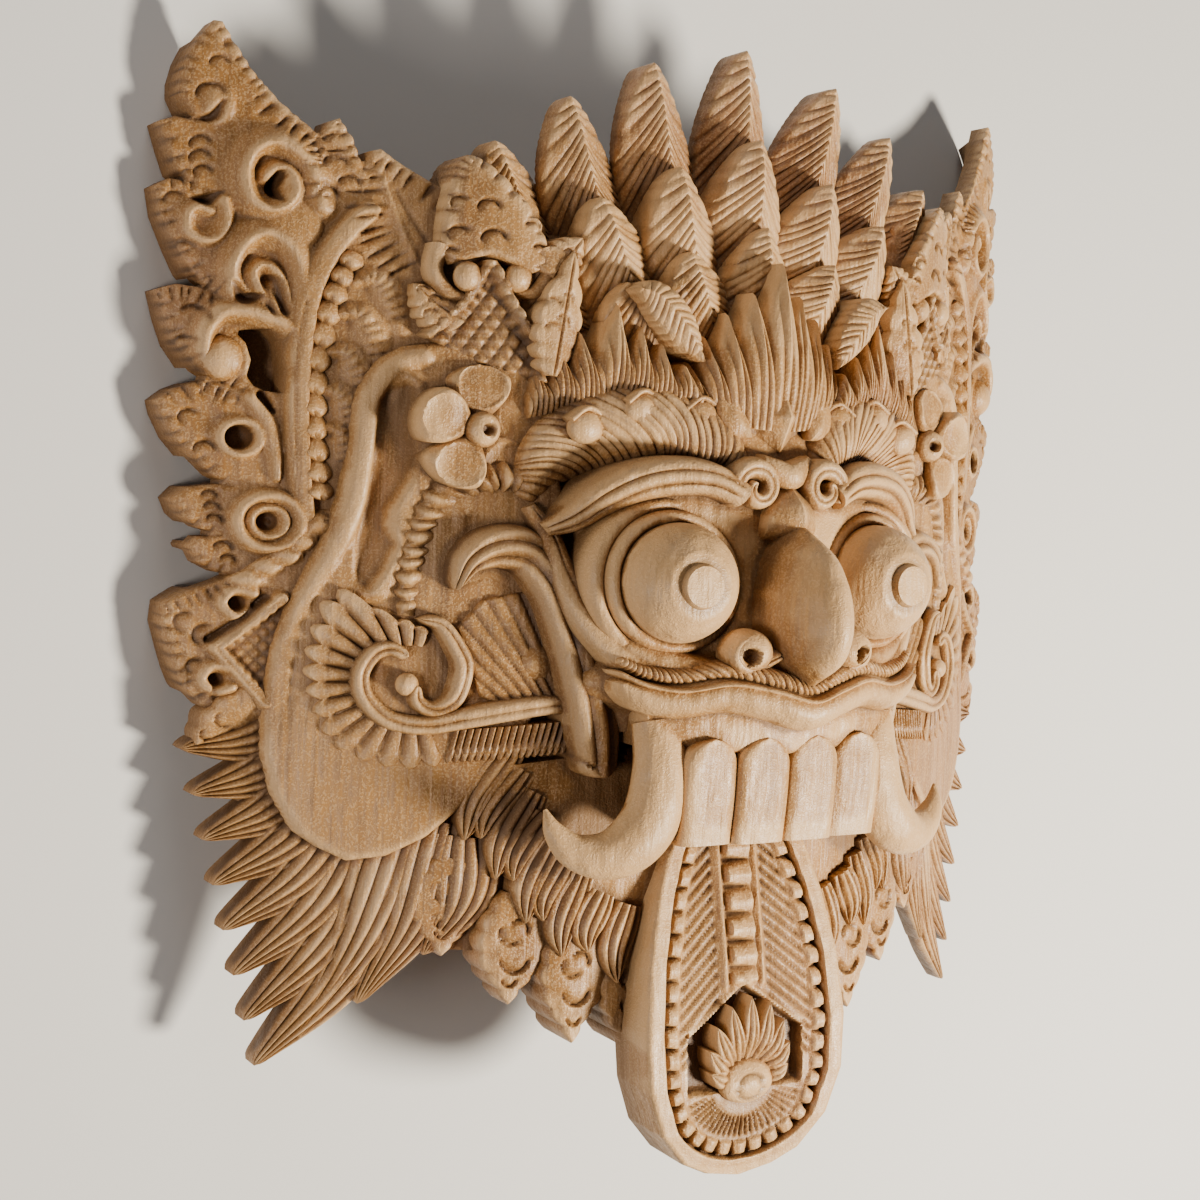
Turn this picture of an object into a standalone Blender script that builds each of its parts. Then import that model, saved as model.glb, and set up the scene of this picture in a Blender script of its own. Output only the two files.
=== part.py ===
# Carved wooden rangda mask, one piece of pale wood, lying on its back.
# +X is the viewer's right, +Y the top of the mask, +Z the way it faces.
# The floor is z = 0; the carving is drawn in millimetres and stretched to the
# driving sizes below by carved().

import math

import bmesh
import bpy
from mathutils import Vector

MASK_WIDTH = 0.458         # wing tip to wing tip
MASK_HEIGHT = 0.492        # crest tip to tongue tip
MASK_DEPTH = 0.208         # rest rim to nose tip
WING_WALL = 0.012          # thickness of the wings and the beard
CENTRE_WALL = 0.030        # thickness of the crest and the jaw over the hollow
FACE_WALL = 0.024          # thickness over the hollow behind the face
TONGUE_WALL = 0.026        # thickness of the free part of the tongue
REST_RIM = 0.014           # width of the flat rim that the mask lies on
CORNER_HOLE_WIDTH = 0.010  # pierced hole at each corner of the mouth
CORNER_HOLE_LENGTH = 0.022

# The same three overall sizes on the carver's drawing, in millimetres.
DRAWN_WIDTH = 458.0
DRAWN_HEIGHT = 492.0
DRAWN_DEPTH = 208.0

# Section of the half log under the relief, on the drawing.
LOG_TOP = 123.0            # height of the log's crown above the floor
LOG_SLOPE = 0.74           # fall of its sides
LOG_SHOULDER = 84.0        # where the crown turns into the sides
LOG_SOFTNESS = 20.0        # how gently it turns

FACE_CENTRE = (0.0, 5.0, 116.0)
FACE_RADII = (100.0, 105.0, 50.0)
MUZZLE_CENTRE = (0.0, -26.0, 120.0)
MUZZLE_RADII = (86.0, 24.0, 58.0)

BURIED = -18.0             # all relief is carried down to here, then cut
TIP_WIDTH = 1.6            # half width of a leaf's blunt tip
FACETS = 9900              # triangles in the finished solid


def carved(point):
    """Turn a point of the drawing into metres at the driving sizes."""
    return Vector((point[0] * MASK_WIDTH / DRAWN_WIDTH,
                   point[1] * MASK_HEIGHT / DRAWN_HEIGHT,
                   point[2] * MASK_DEPTH / DRAWN_DEPTH))


def drawn_depth(length):
    """Turn a wall thickness in metres into a depth on the drawing."""
    return length * DRAWN_DEPTH / MASK_DEPTH


def log_height(x):
    """Height of the half log's surface at x."""
    bend = math.log1p(math.exp((abs(x) - LOG_SHOULDER) / LOG_SOFTNESS))
    return LOG_TOP - LOG_SLOPE * LOG_SOFTNESS * bend


def smooth_point(points, share):
    """Point at a share 0 to 1 of a smooth curve through the given points."""
    spans = len(points) - 1
    place = min(max(share, 0.0), 1.0) * spans
    span = min(int(place), spans - 1)
    t = place - span
    b, c = Vector(points[span]), Vector(points[span + 1])
    a = Vector(points[span - 1]) if span > 0 else 2 * b - c
    d = Vector(points[span + 2]) if span < spans - 1 else 2 * c - b
    return 0.5 * (2 * b + (c - a) * t + (2 * a - 5 * b + 4 * c - d) * t * t
                  + (3 * b - a - 3 * c + d) * t ** 3)


def smooth_value(values, share):
    """Number at a share 0 to 1 of a list of numbers."""
    place = min(max(share, 0.0), 1.0) * (len(values) - 1)
    span = min(int(place), len(values) - 2)
    return values[span] + (values[span + 1] - values[span]) * (place - span)


def on_log(points, lift):
    """Give flat points the height of the log plus a lift; keep given heights."""
    placed = []
    for point in points:
        if len(point) == 2:
            placed.append((point[0], point[1], log_height(point[0]) + lift))
        else:
            placed.append(tuple(point))
    return placed


def finish_shape(bm, name, collection=None, both=True):
    """Stretch the drawn shape to size and put it, and its mirror twin, in the scene."""
    bmesh.ops.recalc_face_normals(bm, faces=bm.faces)
    for vert in bm.verts:
        vert.co = carved(vert.co)
    for side in ('left', 'right') if both else ('',):
        if side == 'right':
            bmesh.ops.scale(bm, vec=(-1, 1, 1), verts=bm.verts)
            bmesh.ops.reverse_faces(bm, faces=bm.faces)
        mesh = bpy.data.meshes.new(name)
        bm.to_mesh(mesh)
        shape = bpy.data.objects.new(f'{name}_{side}' if side else name, mesh)
        (collection or RELIEF).objects.link(shape)
        shape.hide_render = True
        shape.display_type = 'WIRE'
    bm.free()
    return shape


def carry_down(bm, depth=BURIED):
    """Close a surface into a block that reaches down to the given depth."""
    pushed = bmesh.ops.extrude_face_region(bm, geom=bm.faces[:])
    for item in pushed['geom']:
        if isinstance(item, bmesh.types.BMVert):
            item.co.z = depth


def add_leaf(name, spine, widths, lift=3.0, rise=3.0, stations=2, lanes=2, both=True):
    """A leaf, feather, lock or tooth: a ridged strip along a spine."""
    spine = on_log(spine, lift)
    bm = bmesh.new()
    bmesh.ops.create_grid(bm, x_segments=lanes, y_segments=stations, size=1.0)
    for vert in bm.verts:
        across, along = vert.co.x, (vert.co.y + 1) / 2
        centre = smooth_point(spine, along)
        ahead = smooth_point(spine, along + 0.02) - smooth_point(spine, along - 0.02)
        side = Vector((ahead.y, -ahead.x, 0)).normalized()
        ridge = rise * (1 - across * across) * (1 - 0.6 * along * along)
        vert.co = centre + side * across * smooth_value(widths, along)
        vert.co.z += ridge
    carry_down(bm)
    return finish_shape(bm, name, both=both)


def add_sweep(name, path, widths, height=1.0, lift=3.0, stations=6, sides=5, both=True):
    """A rounded bar, rim, scroll or tusk along a path; height is its depth by its width."""
    path = on_log(path, lift)
    bm = bmesh.new()
    rings = []
    for station in range(stations + 1):
        share = station / stations
        centre = smooth_point(path, share)
        ahead = (smooth_point(path, share + 0.02) - smooth_point(path, share - 0.02)).normalized()
        side = ahead.cross(Vector((0, 0, 1))).normalized()
        rise = side.cross(ahead)
        ends = station in (0, stations)
        made = bmesh.ops.create_circle(bm, cap_ends=ends, radius=1.0, segments=sides)
        half = smooth_value(widths, share)
        for vert in made['verts']:
            vert.co = centre + side * vert.co.x * half + rise * vert.co.y * half * height
        rings.append({edge for vert in made['verts'] for edge in vert.link_edges})
    for first, second in zip(rings, rings[1:]):
        bmesh.ops.bridge_loops(bm, edges=list(first | second))
    return finish_shape(bm, name, both=both)


def add_ball(name, centre, radii, segments=6, rings=4, both=True, collection=None):
    """A bead, boss, petal or eye."""
    bm = bmesh.new()
    bmesh.ops.create_uvsphere(bm, u_segments=segments, v_segments=rings, radius=1.0)
    for vert in bm.verts:
        vert.co = Vector(centre) + Vector(vert.co[i] * radii[i] for i in range(3))
    return finish_shape(bm, name, collection, both)


def add_plate(name, outline, lift=0.0, cuts=(), bottom=BURIED, top=None, both=True, collection=None):
    """A flat outline bent over the log, or with a given top; a whole one is its own mirror image."""
    if not both:
        outline = outline + [(-x, y) for x, y in reversed(outline)]
        cuts = cuts + tuple(-x for x in cuts)
    bm = bmesh.new()
    made = bmesh.ops.create_circle(bm, cap_ends=True, radius=1.0, segments=len(outline))
    for vert, point in zip(made['verts'], outline):
        vert.co = Vector((point[0], point[1], 0))
    for x in cuts:
        everything = bm.verts[:] + bm.edges[:] + bm.faces[:]
        bmesh.ops.bisect_plane(bm, geom=everything, plane_co=(x, 0, 0), plane_no=(1, 0, 0))
    for vert in bm.verts:
        vert.co.z = log_height(vert.co.x) + lift if top is None else top(vert.co)
    carry_down(bm, bottom)
    return finish_shape(bm, name, collection, both)


def add_spiral(name, centre, radius, turns, start, tube, lift=6.0, stations=8):
    """A scroll that winds inwards; a negative number of turns winds the other way."""
    path = []
    for step in range(stations + 1):
        share = step / stations
        angle = math.radians(start) + share * turns * 2 * math.pi
        reach = radius * (1 - 0.72 * share)
        path.append((centre[0] + reach * math.cos(angle), centre[1] + reach * math.sin(angle)))
    return add_sweep(name, path, (tube, tube, tube * 0.6), height=1.4, lift=lift, stations=stations)


def add_log():
    """The half log that all the relief stands on, and the domes of the face."""
    outline = [(0, 150), (-60, 142), (-92, 160), (-124, 172), (-150, 182), (-176, 203),
               (-198, 228), (-212, 222), (-214, 196), (-219, 178), (-212, 146), (-205, 130),
               (-218, 124), (-212, 104), (-204, 92), (-216, 78), (-205, 52),
               (-202, 20), (-213, 2), (-216, -24), (-206, -42), (-204, -78), (-192, -118),
               (-182, -160), (-150, -150), (-116, -134), (-88, -152), (-56, -172), (0, -180)]
    add_plate('log', outline[1:-1], lift=-2.0, cuts=(-64, -90, -115, -150), both=False)
    add_ball('face', FACE_CENTRE, FACE_RADII, segments=14, rings=8, both=False)
    add_ball('muzzle', MUZZLE_CENTRE, MUZZLE_RADII, segments=10, rings=8, both=False)


def add_crest():
    """Rows of pointed feathers, each row in front of the one above it."""
    rows = [
        [((0, 150, 108), (0, 200, 114), (0, 245, 121)),
         ((-26, 150, 110), (-38, 196, 115), (-46, 233, 126)),
         ((-54, 140, 106), (-70, 182, 109), (-82, 215, 119)),
         ((-80, 130, 98), (-98, 165, 98), (-113, 196, 106))],
        [((0, 140, 125), (0, 176, 132), (0, 206, 139)),
         ((-20, 132, 124), (-30, 162, 131), (-36, 188, 138)),
         ((-46, 124, 118), (-60, 150, 125), (-70, 172, 131)),
         ((-72, 116, 112), (-88, 138, 115), (-98, 157, 118))],
        [((0, 120, 138), (0, 146, 142), (0, 166, 145)),
         ((-20, 118, 136), (-28, 136, 140), (-33, 151, 144)),
         ((-46, 112, 130), (-56, 128, 133), (-62, 141, 137))],
    ]
    shapes = [(19, 18, 12, TIP_WIDTH), (18, 17, 11, TIP_WIDTH), (16, 15, 10, TIP_WIDTH)]
    for row, (feathers, widths) in enumerate(zip(rows, shapes)):
        for place, spine in enumerate(feathers):
            add_leaf(f'feather_{row}_{place}', spine, widths, rise=6.0, stations=3, both=place > 0)


def add_hairline():
    """Flame leaves that stand over the forehead, a centre fan and one to each side."""
    for finger in range(4):
        foot = (-8.0 * finger, 92 - 2.0 * finger, 150 - 2.0 * finger)
        tip = (-11.5 * finger, 148 - 12.0 * finger, 158 - 3.0 * finger)
        add_leaf(f'flame_centre_{finger}', (foot, tip), (7.0, 7.5, TIP_WIDTH), rise=3.5, both=finger > 0)
    for finger in range(-2, 3):
        away = abs(finger)
        foot = (-60 - 7.0 * finger, 92 - 2.0 * away, 138 - 2.0 * away)
        tip = (-74 - 10.5 * finger, 128 - 8.5 * away, 149 - 3.0 * away)
        add_leaf(f'flame_side_{finger + 2}', (foot, tip), (6.0, 7.0, TIP_WIDTH), rise=3.0, stations=1)


def add_wing():
    """The fretted wing: lobes, scrolls, the long rib and the row of scales."""
    lobes = [
        (((-188, 184), (-202, 214), (-209, 245.5)), (15, 15, 9, TIP_WIDTH), 3),
        (((-192, 178), (-210, 195), (-227, 205)), (9, 11, 7, TIP_WIDTH), 2),
        (((-190, 148), (-212, 158), (-229, 177)), (17, 17, 11, TIP_WIDTH), 3),
        (((-198, 100), (-212, 116), (-229, 133)), (10, 14, 10, TIP_WIDTH), 3),
        (((-186, 62), (-206, 72), (-227, 85)), (16, 18, 12, TIP_WIDTH), 3),
        (((-184, 36), (-203, 42), (-220, 45)), (9, 10, 7, TIP_WIDTH), 2),
        (((-184, 20), (-200, 21), (-214, 25)), (7, 8, 6, TIP_WIDTH), 2),
        (((-168, 162), (-167, 186), (-164, 205)), (11, 12, 8, TIP_WIDTH), 2),
        (((-142, 150), (-145, 174), (-149, 192)), (12, 13, 9, TIP_WIDTH), 2),
        (((-123, 150), (-127, 166), (-128, 180)), (9, 10, 6, TIP_WIDTH), 2),
    ]
    for place, (spine, widths, stations) in enumerate(lobes):
        add_leaf(f'wing_lobe_{place}', spine, widths, lift=2.0, rise=4.0, stations=stations)
    add_spiral('wing_scroll_top', (-188, 181), 15, -1.0, 20, 4.0)
    add_spiral('wing_scroll_large', (-193, 142), 19, -1.0, 60, 4.5)
    add_spiral('wing_scroll_low', (-186, 35), 11, -1.0, 90, 3.5)
    add_sweep('wing_hook', [(-184, 114), (-196, 120), (-210, 117), (-214, 104), (-208, 95)],
              (3, 4, 4, 3), lift=5.0, stations=4)
    add_ball('wing_ball', (-203, 105, log_height(203) + 5), (10, 10, 8), segments=7)
    rib = [(-152, 168), (-166, 155), (-176, 132), (-181, 95), (-180, 65), (-175, 36)]
    add_sweep('wing_rib', rib, (4.0, 4.0), height=1.4, lift=4.0, stations=5)
    scales = [(-154, 156), (-164, 134), (-169, 100), (-170, 70), (-168, 40)]
    for place in range(7):
        foot = smooth_point(on_log(scales, 2.0), place / 7)
        end = smooth_point(on_log(scales, 7.0), (place + 1.1) / 7)
        add_leaf(f'scale_{place}', (foot, end), (7.5, 4.0), rise=3.0, stations=1)


def add_crown_ornament():
    """The leaf, beads and lozenge panel between the wing and the crest."""
    add_leaf('crown_leaf', ((-112, 146, 102), (-117, 168, 104), (-120, 188, 100)), (13, 16, 13, 3),
             rise=5.0, stations=3)
    for x, z in ((-124, 105), (-102, 109)):
        add_ball(f'crown_bead_{-x}', (x, 139.5, z), (6.5, 6.5, 5))
    add_plate('crown_panel', [(-113, 148), (-136, 112), (-92, 98)], lift=8.0, cuts=(-118,))
    add_leaf('crown_leaf_outer', ((-130, 112), (-139, 128), (-141, 144)), (8, 10, TIP_WIDTH), lift=7.0)
    add_leaf('crown_leaf_inner', ((-90, 106), (-82, 126), (-78, 146)), (9, 11, TIP_WIDTH), lift=10.0)
    add_leaf('crown_leaf_back', ((-98, 150), (-104, 176), (-108, 196)), (10, 10, TIP_WIDTH), lift=1.0)


def add_ear():
    """The long ear plate with its raised rim, flower and sideburn."""
    outline = [(-132, 111), (-148, 102), (-157, 86), (-161, 60), (-168, 34), (-179, 8),
               (-186, -20), (-189, -50), (-186, -78), (-177, -96), (-162, -106), (-145, -104),
               (-130, -94), (-116, -74), (-96, -56), (-80, -20), (-80, 40), (-90, 96), (-110, 106)]
    add_plate('ear', outline, lift=5.0, cuts=(-100, -125, -155))
    rim = [(-118, 106), (-138, 105), (-152, 88), (-157, 58), (-164, 32), (-176, 6), (-184, -24)]
    add_sweep('ear_rim', rim, (3, 4.5, 4.5, 4, 2.5), lift=5.0, stations=6)
    for petal in range(5):
        angle = math.radians(90 + 72 * petal)
        x, y = -117 + 17 * math.cos(angle), 77 + 17 * math.sin(angle)
        add_ball(f'petal_{petal}', (x, y, log_height(x) + 7), (9.5, 9, 5), rings=3)
    add_ball('flower_knob', (-117, 77, log_height(117) + 9), (7, 7, 6), rings=3)
    side = on_log([(-102, 58), (-124, 52), (-135, 32), (-138, 4)], 6.0)
    for tooth in range(7):
        middle = smooth_point(side, (tooth + 0.5) / 7)
        ahead = smooth_point(side, (tooth + 0.7) / 7) - smooth_point(side, (tooth + 0.3) / 7)
        out = Vector((ahead.y, -ahead.x, 0)).normalized() * 8
        add_leaf(f'sideburn_{tooth}', (middle - out, middle + out), (3.4, TIP_WIDTH), stations=1)


def add_cheek():
    """Cheek scroll with its flames and fringe, the fan panel and the fluted strap."""
    band = [(-78, -42, 116), (-95, -42, 110), (-112, -46), (-130, -51), (-145, -47), (-151, -34),
            (-146, -22), (-136, -18)]
    add_sweep('cheek_scroll', band, (4.0, 4.0, 4.0, 3.0), height=1.3, lift=8.0, stations=8)
    hook = [(-128, -12), (-118, -18), (-116, -32), (-125, -43), (-136, -42)]
    add_sweep('cheek_hook', hook, (4.0, 4.0, 3.0), height=1.3, lift=7.0, stations=5)
    add_ball('cheek_bead', (-135, -34, log_height(135) + 9), (6, 6, 6))
    for flame in range(8):
        angle = math.radians(70 + 28 * flame)
        reach = 45 if flame == 2 else 37
        heading = Vector((math.cos(angle), math.sin(angle)))
        middle = Vector((-137, -33))
        foot, tip = middle + heading * 15, middle + heading * reach
        add_leaf(f'flame_ray_{flame}', (tuple(foot), tuple(tip)), (5.0, 6.0, TIP_WIDTH), lift=7.0)
    for fringe in range(5):
        x = -81 - 10.0 * fringe
        add_leaf(f'fringe_{fringe}', ((x, -44 - fringe), (x - 3, -61 - fringe)), (4.6, TIP_WIDTH),
                 lift=7.0, stations=1)
    panel = [(-80, 8), (-104, 8), (-122, 0), (-120, -18), (-110, -34), (-78, -32)]
    add_plate('fan_panel', panel, lift=8.0, cuts=(-100,))
    add_ball('cheek_ball', (-92, -19, 109), (10, 10, 10), segments=7)
    strap = [(-121, 22, 105), (-108, 29, 113), (-93, 20, 120), (-83, -6, 126), (-75, -34, 129),
             (-69, -66, 128)]
    bed = [(-66, -64), (-80, -62), (-90, -34), (-96, -6), (-104, 12), (-118, 14), (-118, 28),
           (-104, 34), (-84, 22), (-72, -10)]
    add_plate('strap_bed', bed, top=lambda co: 124.0 + 0.35 * min(0.0, co.x + 75))
    for flute in (-1, 0, 1):
        path = []
        for step in range(6):
            centre = smooth_point(strap, step / 5)
            ahead = smooth_point(strap, step / 5 + 0.02) - smooth_point(strap, step / 5 - 0.02)
            side = Vector((ahead.y, -ahead.x, 0)).normalized() * 7.5 * flute
            path.append(tuple(centre + side + Vector((0, 0, 2.0 - 2.0 * abs(flute)))))
        add_sweep(f'strap_{flute + 1}', path, (4.0, 5.0, 5.0), height=1.3)


def add_beard():
    """Long locks of the beard, the tufts under the jaw and the collar leaves."""
    for lock in range(7):
        tip = (-217.5 + 4.3 * lock, -66 - 23.2 * lock)
        root = (-192 + 9.0 * lock, -42 - 9.5 * lock)
        middle = ((tip[0] + root[0]) / 2 + 3, (tip[1] + root[1]) / 2 - 3)
        add_leaf(f'lock_{lock}', (root, middle, tip), (9, 11, 9, TIP_WIDTH), lift=3.0, rise=4.0)
    for lock, tip in enumerate([(-175, -187), (-154, -170), (-131, -147)]):
        root = (-134 + 8 * lock, -98 + 6 * lock)
        add_leaf(f'low_lock_{lock}', (root, tip), (11, 12, TIP_WIDTH), lift=3.0, rise=4.0)
    rim = [(-103, -64, 105), (-91, -84, 110), (-85, -102, 114), (-75, -116, 117), (-61, -127, 120),
           (-40, -135, 124)]
    for tuft in range(6):
        root = smooth_point(rim, 0.08 + tuft / 6.0 * 0.86)
        tip = (root.x - 16 + tuft * 1.2, root.y - 28 + tuft * 0.8)
        add_leaf(f'tuft_{tuft}', ((root.x, root.y), tip), (9, TIP_WIDTH), lift=5.0, rise=3.5, stations=1)
    collar = [((-116, -112), (-124, -147)), ((-92, -126), (-99, -167)), ((-66, -138), (-73, -184)),
              ((-38, -146), (-46, -188))]
    for place, spine in enumerate(collar):
        add_leaf(f'collar_leaf_{place}', spine, (13, 15, 12, 3), lift=2.0, rise=3.0)
    jaw = [(-103, -64), (-91, -84), (-85, -102), (-75, -116), (-61, -127), (-38, -135), (-8, -137)]
    jaw.reverse()
    add_plate('jaw', jaw + [(-84, -50), (-60, -40), (-8, -52)], both=False,
              top=lambda co: 116 - 0.16 * abs(co.x))
    add_sweep('jaw_rim', rim, (3.0, 3.0), height=1.5, stations=5)


def add_side_ornament():
    """Leaves and lozenge below the wing, beside the ear."""
    add_leaf('side_leaf', ((-186, 2), (-206, 0), (-223, 1)), (14, 13, TIP_WIDTH), lift=2.0)
    add_leaf('side_leaf_low', ((-192, -12), (-210, -24), (-212, -44)), (13, 12, TIP_WIDTH), lift=2.0)
    add_leaf('side_leaf_small', ((-172, 20), (-182, 14), (-192, 6)), (7, 7, TIP_WIDTH), lift=5.0)
    add_plate('lozenge', [(-206, -20), (-190, -4), (-182, -24), (-190, -46)], lift=4.0)


def add_brow():
    """Grooved brow, its beads, the lid ridge and the curl between the eyes."""
    body = [(-95, 54, 116), (-82, 70, 124), (-62, 78, 138), (-42, 79, 146), (-27, 70, 152)]
    add_sweep('brow', body, (7, 13, 13, 12, 6), height=0.75)
    for groove in range(6):
        middle = smooth_point(body, (groove + 0.8) / 6.6)
        low = (middle.x + 5, middle.y - 9, middle.z + 7)
        high = (middle.x - 6, middle.y + 8, middle.z + 5)
        add_sweep(f'brow_ridge_{groove}', (low, high), (2.2, 2.2), height=1.8, stations=1, sides=4)
    for x, y, z in ((-81, 77, 129), (-59, 87, 136), (-33, 85, 145)):
        add_ball(f'brow_bead_{-x}', (x, y, z), (8, 6.5, 6))
    ridge = [(-92, 40, 126), (-81, 46, 137), (-68, 58, 147), (-50, 63, 154), (-32, 60, 160),
             (-22, 54, 162)]
    add_sweep('brow_lid', ridge, (3, 5, 5, 5, 4), height=1.7)
    curl = []
    for step in range(7):
        angle = math.radians(100 + 60 * step)
        reach = 8.5 - 0.8 * step
        curl.append((-17 + reach * math.cos(angle), 57 + reach * math.sin(angle), 161))
    add_sweep('brow_curl', curl, (3.0, 3.0, 2.4), height=1.6)
    add_plate('gem', [(-1, 102), (-13, 76)], both=False, top=lambda co: 162 - 0.35 * (co.y - 76))


def add_eye():
    """The staring ball, its pupil and the ring of the socket."""
    add_ball('eye', (-50, 16, 159), (25, 25, 25), segments=12, rings=8)
    bm = bmesh.new()
    bmesh.ops.create_cone(bm, cap_ends=True, segments=9, radius1=9.5, radius2=9.5, depth=16)
    outwards = Vector((0, 0, 1)).rotation_difference(Vector((-0.09, 0.0, 1.0)))
    bmesh.ops.rotate(bm, verts=bm.verts, matrix=outwards.to_matrix())
    bmesh.ops.translate(bm, verts=bm.verts, vec=(-51.7, 16, 177.5))
    finish_shape(bm, 'pupil')
    ring = []
    for step in range(11):
        angle = 2 * math.pi * step / 10
        ring.append((-50 + 29 * math.cos(angle), 16 + 30 * math.sin(angle), 149 + 5 * math.cos(angle)))
    add_sweep('socket', ring, (4.5, 4.5), height=1.8, stations=10)


def add_nose():
    """Bridge, hooked bulb and nostrils."""
    add_plate('nose_bridge', [(-9, 49), (-12, 18)], both=False, top=lambda co: 178 - 0.4 * (co.y - 18))
    bulb = [(0, 40, 172), (0, 26, 184), (0, 8, 190), (0, -8, 192), (0, -19, 186)]
    add_sweep('nose', bulb, (9, 17, 22, 22, 13), height=0.8, stations=5, sides=10, both=False)
    add_ball('nostril', (-26, -12.5, 176), (10, 9, 11), segments=8)


def add_mouth():
    """Moustache cord, lip, gum, teeth and tusk."""
    lip = [(-75, -25, 154), (-58, -31, 164), (-32, -30, 175), (0, -36, 184)]
    lip += [(-x, y, z) for x, y, z in reversed(lip[:-1])]
    add_sweep('lip', lip, (3, 6, 7, 6.5, 7, 6, 3), height=1.3, stations=12, both=False)
    cord = [(x, y + 9.5, z - 1) for x, y, z in lip]
    add_sweep('moustache', cord, (2.5, 3.6, 3.6, 2.5), height=1.6, stations=12, both=False)
    add_plate('gum', [(-3, -37), (-26, -33), (-56, -33), (-58, -50), (-3, -54)], both=False,
              top=lambda co: 171 - 0.16 * abs(co.x))
    for tooth in range(2):
        middle = -12.0 - 24.5 * tooth
        spine = ((middle, -92, 168 - 2.5 * tooth), (middle, -48, 171 - 2 * tooth))
        add_leaf(f'tooth_{tooth}', spine, (12.6, 12.6, 12.6, 7.0), rise=4.0, stations=3)
    tusk = [(-54, -44, 156), (-53, -62, 160), (-57, -82, 161), (-66, -94, 159), (-78, -98, 154),
            (-90, -95, 149), (-98, -87, 145), (-101, -79, 142)]
    add_sweep('tusk', tusk, (11.5, 11.5, 12, 12, 9.5, 7.5, 5, 1.5), stations=8, sides=6)
    add_plate('mouth_back', [(-3, -48), (-60, -44), (-62, -66), (-46, -94), (-3, -98)], both=False,
              top=lambda co: 138.0)


def tongue_height(y):
    """Height of the tongue's surface from the teeth down to its tip."""
    return smooth_value((130, 134, 139, 143, 146, 147, 146, 142), (-92 - y) / 154)


def add_tongue():
    """The long tongue with its raised border, ribs, beads and flame boss."""
    half = [(-33, -92), (-43, -122), (-49, -150), (-51.5, -178), (-50, -202), (-43, -222),
            (-30, -237), (-14, -244.5)]
    add_plate('tongue', half, top=lambda co: tongue_height(co.y) - 2, both=False)
    edge = [(x * 0.94, y * 0.985 - 1, tongue_height(y)) for x, y in half]
    edge += [(-x, y, z) for x, y, z in reversed(edge)]
    add_sweep('tongue_border', edge, (3.5, 3.5), height=1.3, stations=14, both=False)
    rib = [(-9, -94, 131), (-9, -125, 137), (-9, -156, 142)]
    add_sweep('tongue_rib', rib, (2.5, 2.5), height=1.5, stations=2, sides=4)
    for bead in range(4):
        y = -108 - 12 * bead
        add_ball(f'tongue_bead_{bead}', (0, y, tongue_height(y)), (4, 4, 4), rings=3, both=False)
    for groove in range(5):
        y = -112 - 15 * groove
        inner = (-12, y + 4, tongue_height(y) - 1)
        outer = (-30 - min(groove, 3) * 2.5, y - 9, tongue_height(y) - 0.5)
        add_sweep(f'tongue_ridge_{groove}', (inner, outer), (2.0, 2.0), height=1.6, stations=1, sides=4)
    for ray in range(4):
        angle = math.radians(90 + 27 * ray)
        foot = (10 * math.cos(angle), -203 + 9 * math.sin(angle), 147)
        tip = (27 * math.cos(angle), -203 + 36 * math.sin(angle), 150)
        add_leaf(f'tongue_flame_{ray}', (foot, tip), (3.5, 5.5, TIP_WIDTH), rise=2.5, both=ray > 0)
    add_ball('tongue_boss', (0, -203, 147), (13, 10, 6), segments=8, both=False)


def hollow_height(x, y):
    """Top of the hollow back: it follows the log and stops under the crest."""
    centre_top = LOG_TOP - drawn_depth(CENTRE_WALL)
    if y > 180:
        centre_top += 10
    return min(log_height(x) - drawn_depth(WING_WALL), centre_top)


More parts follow.
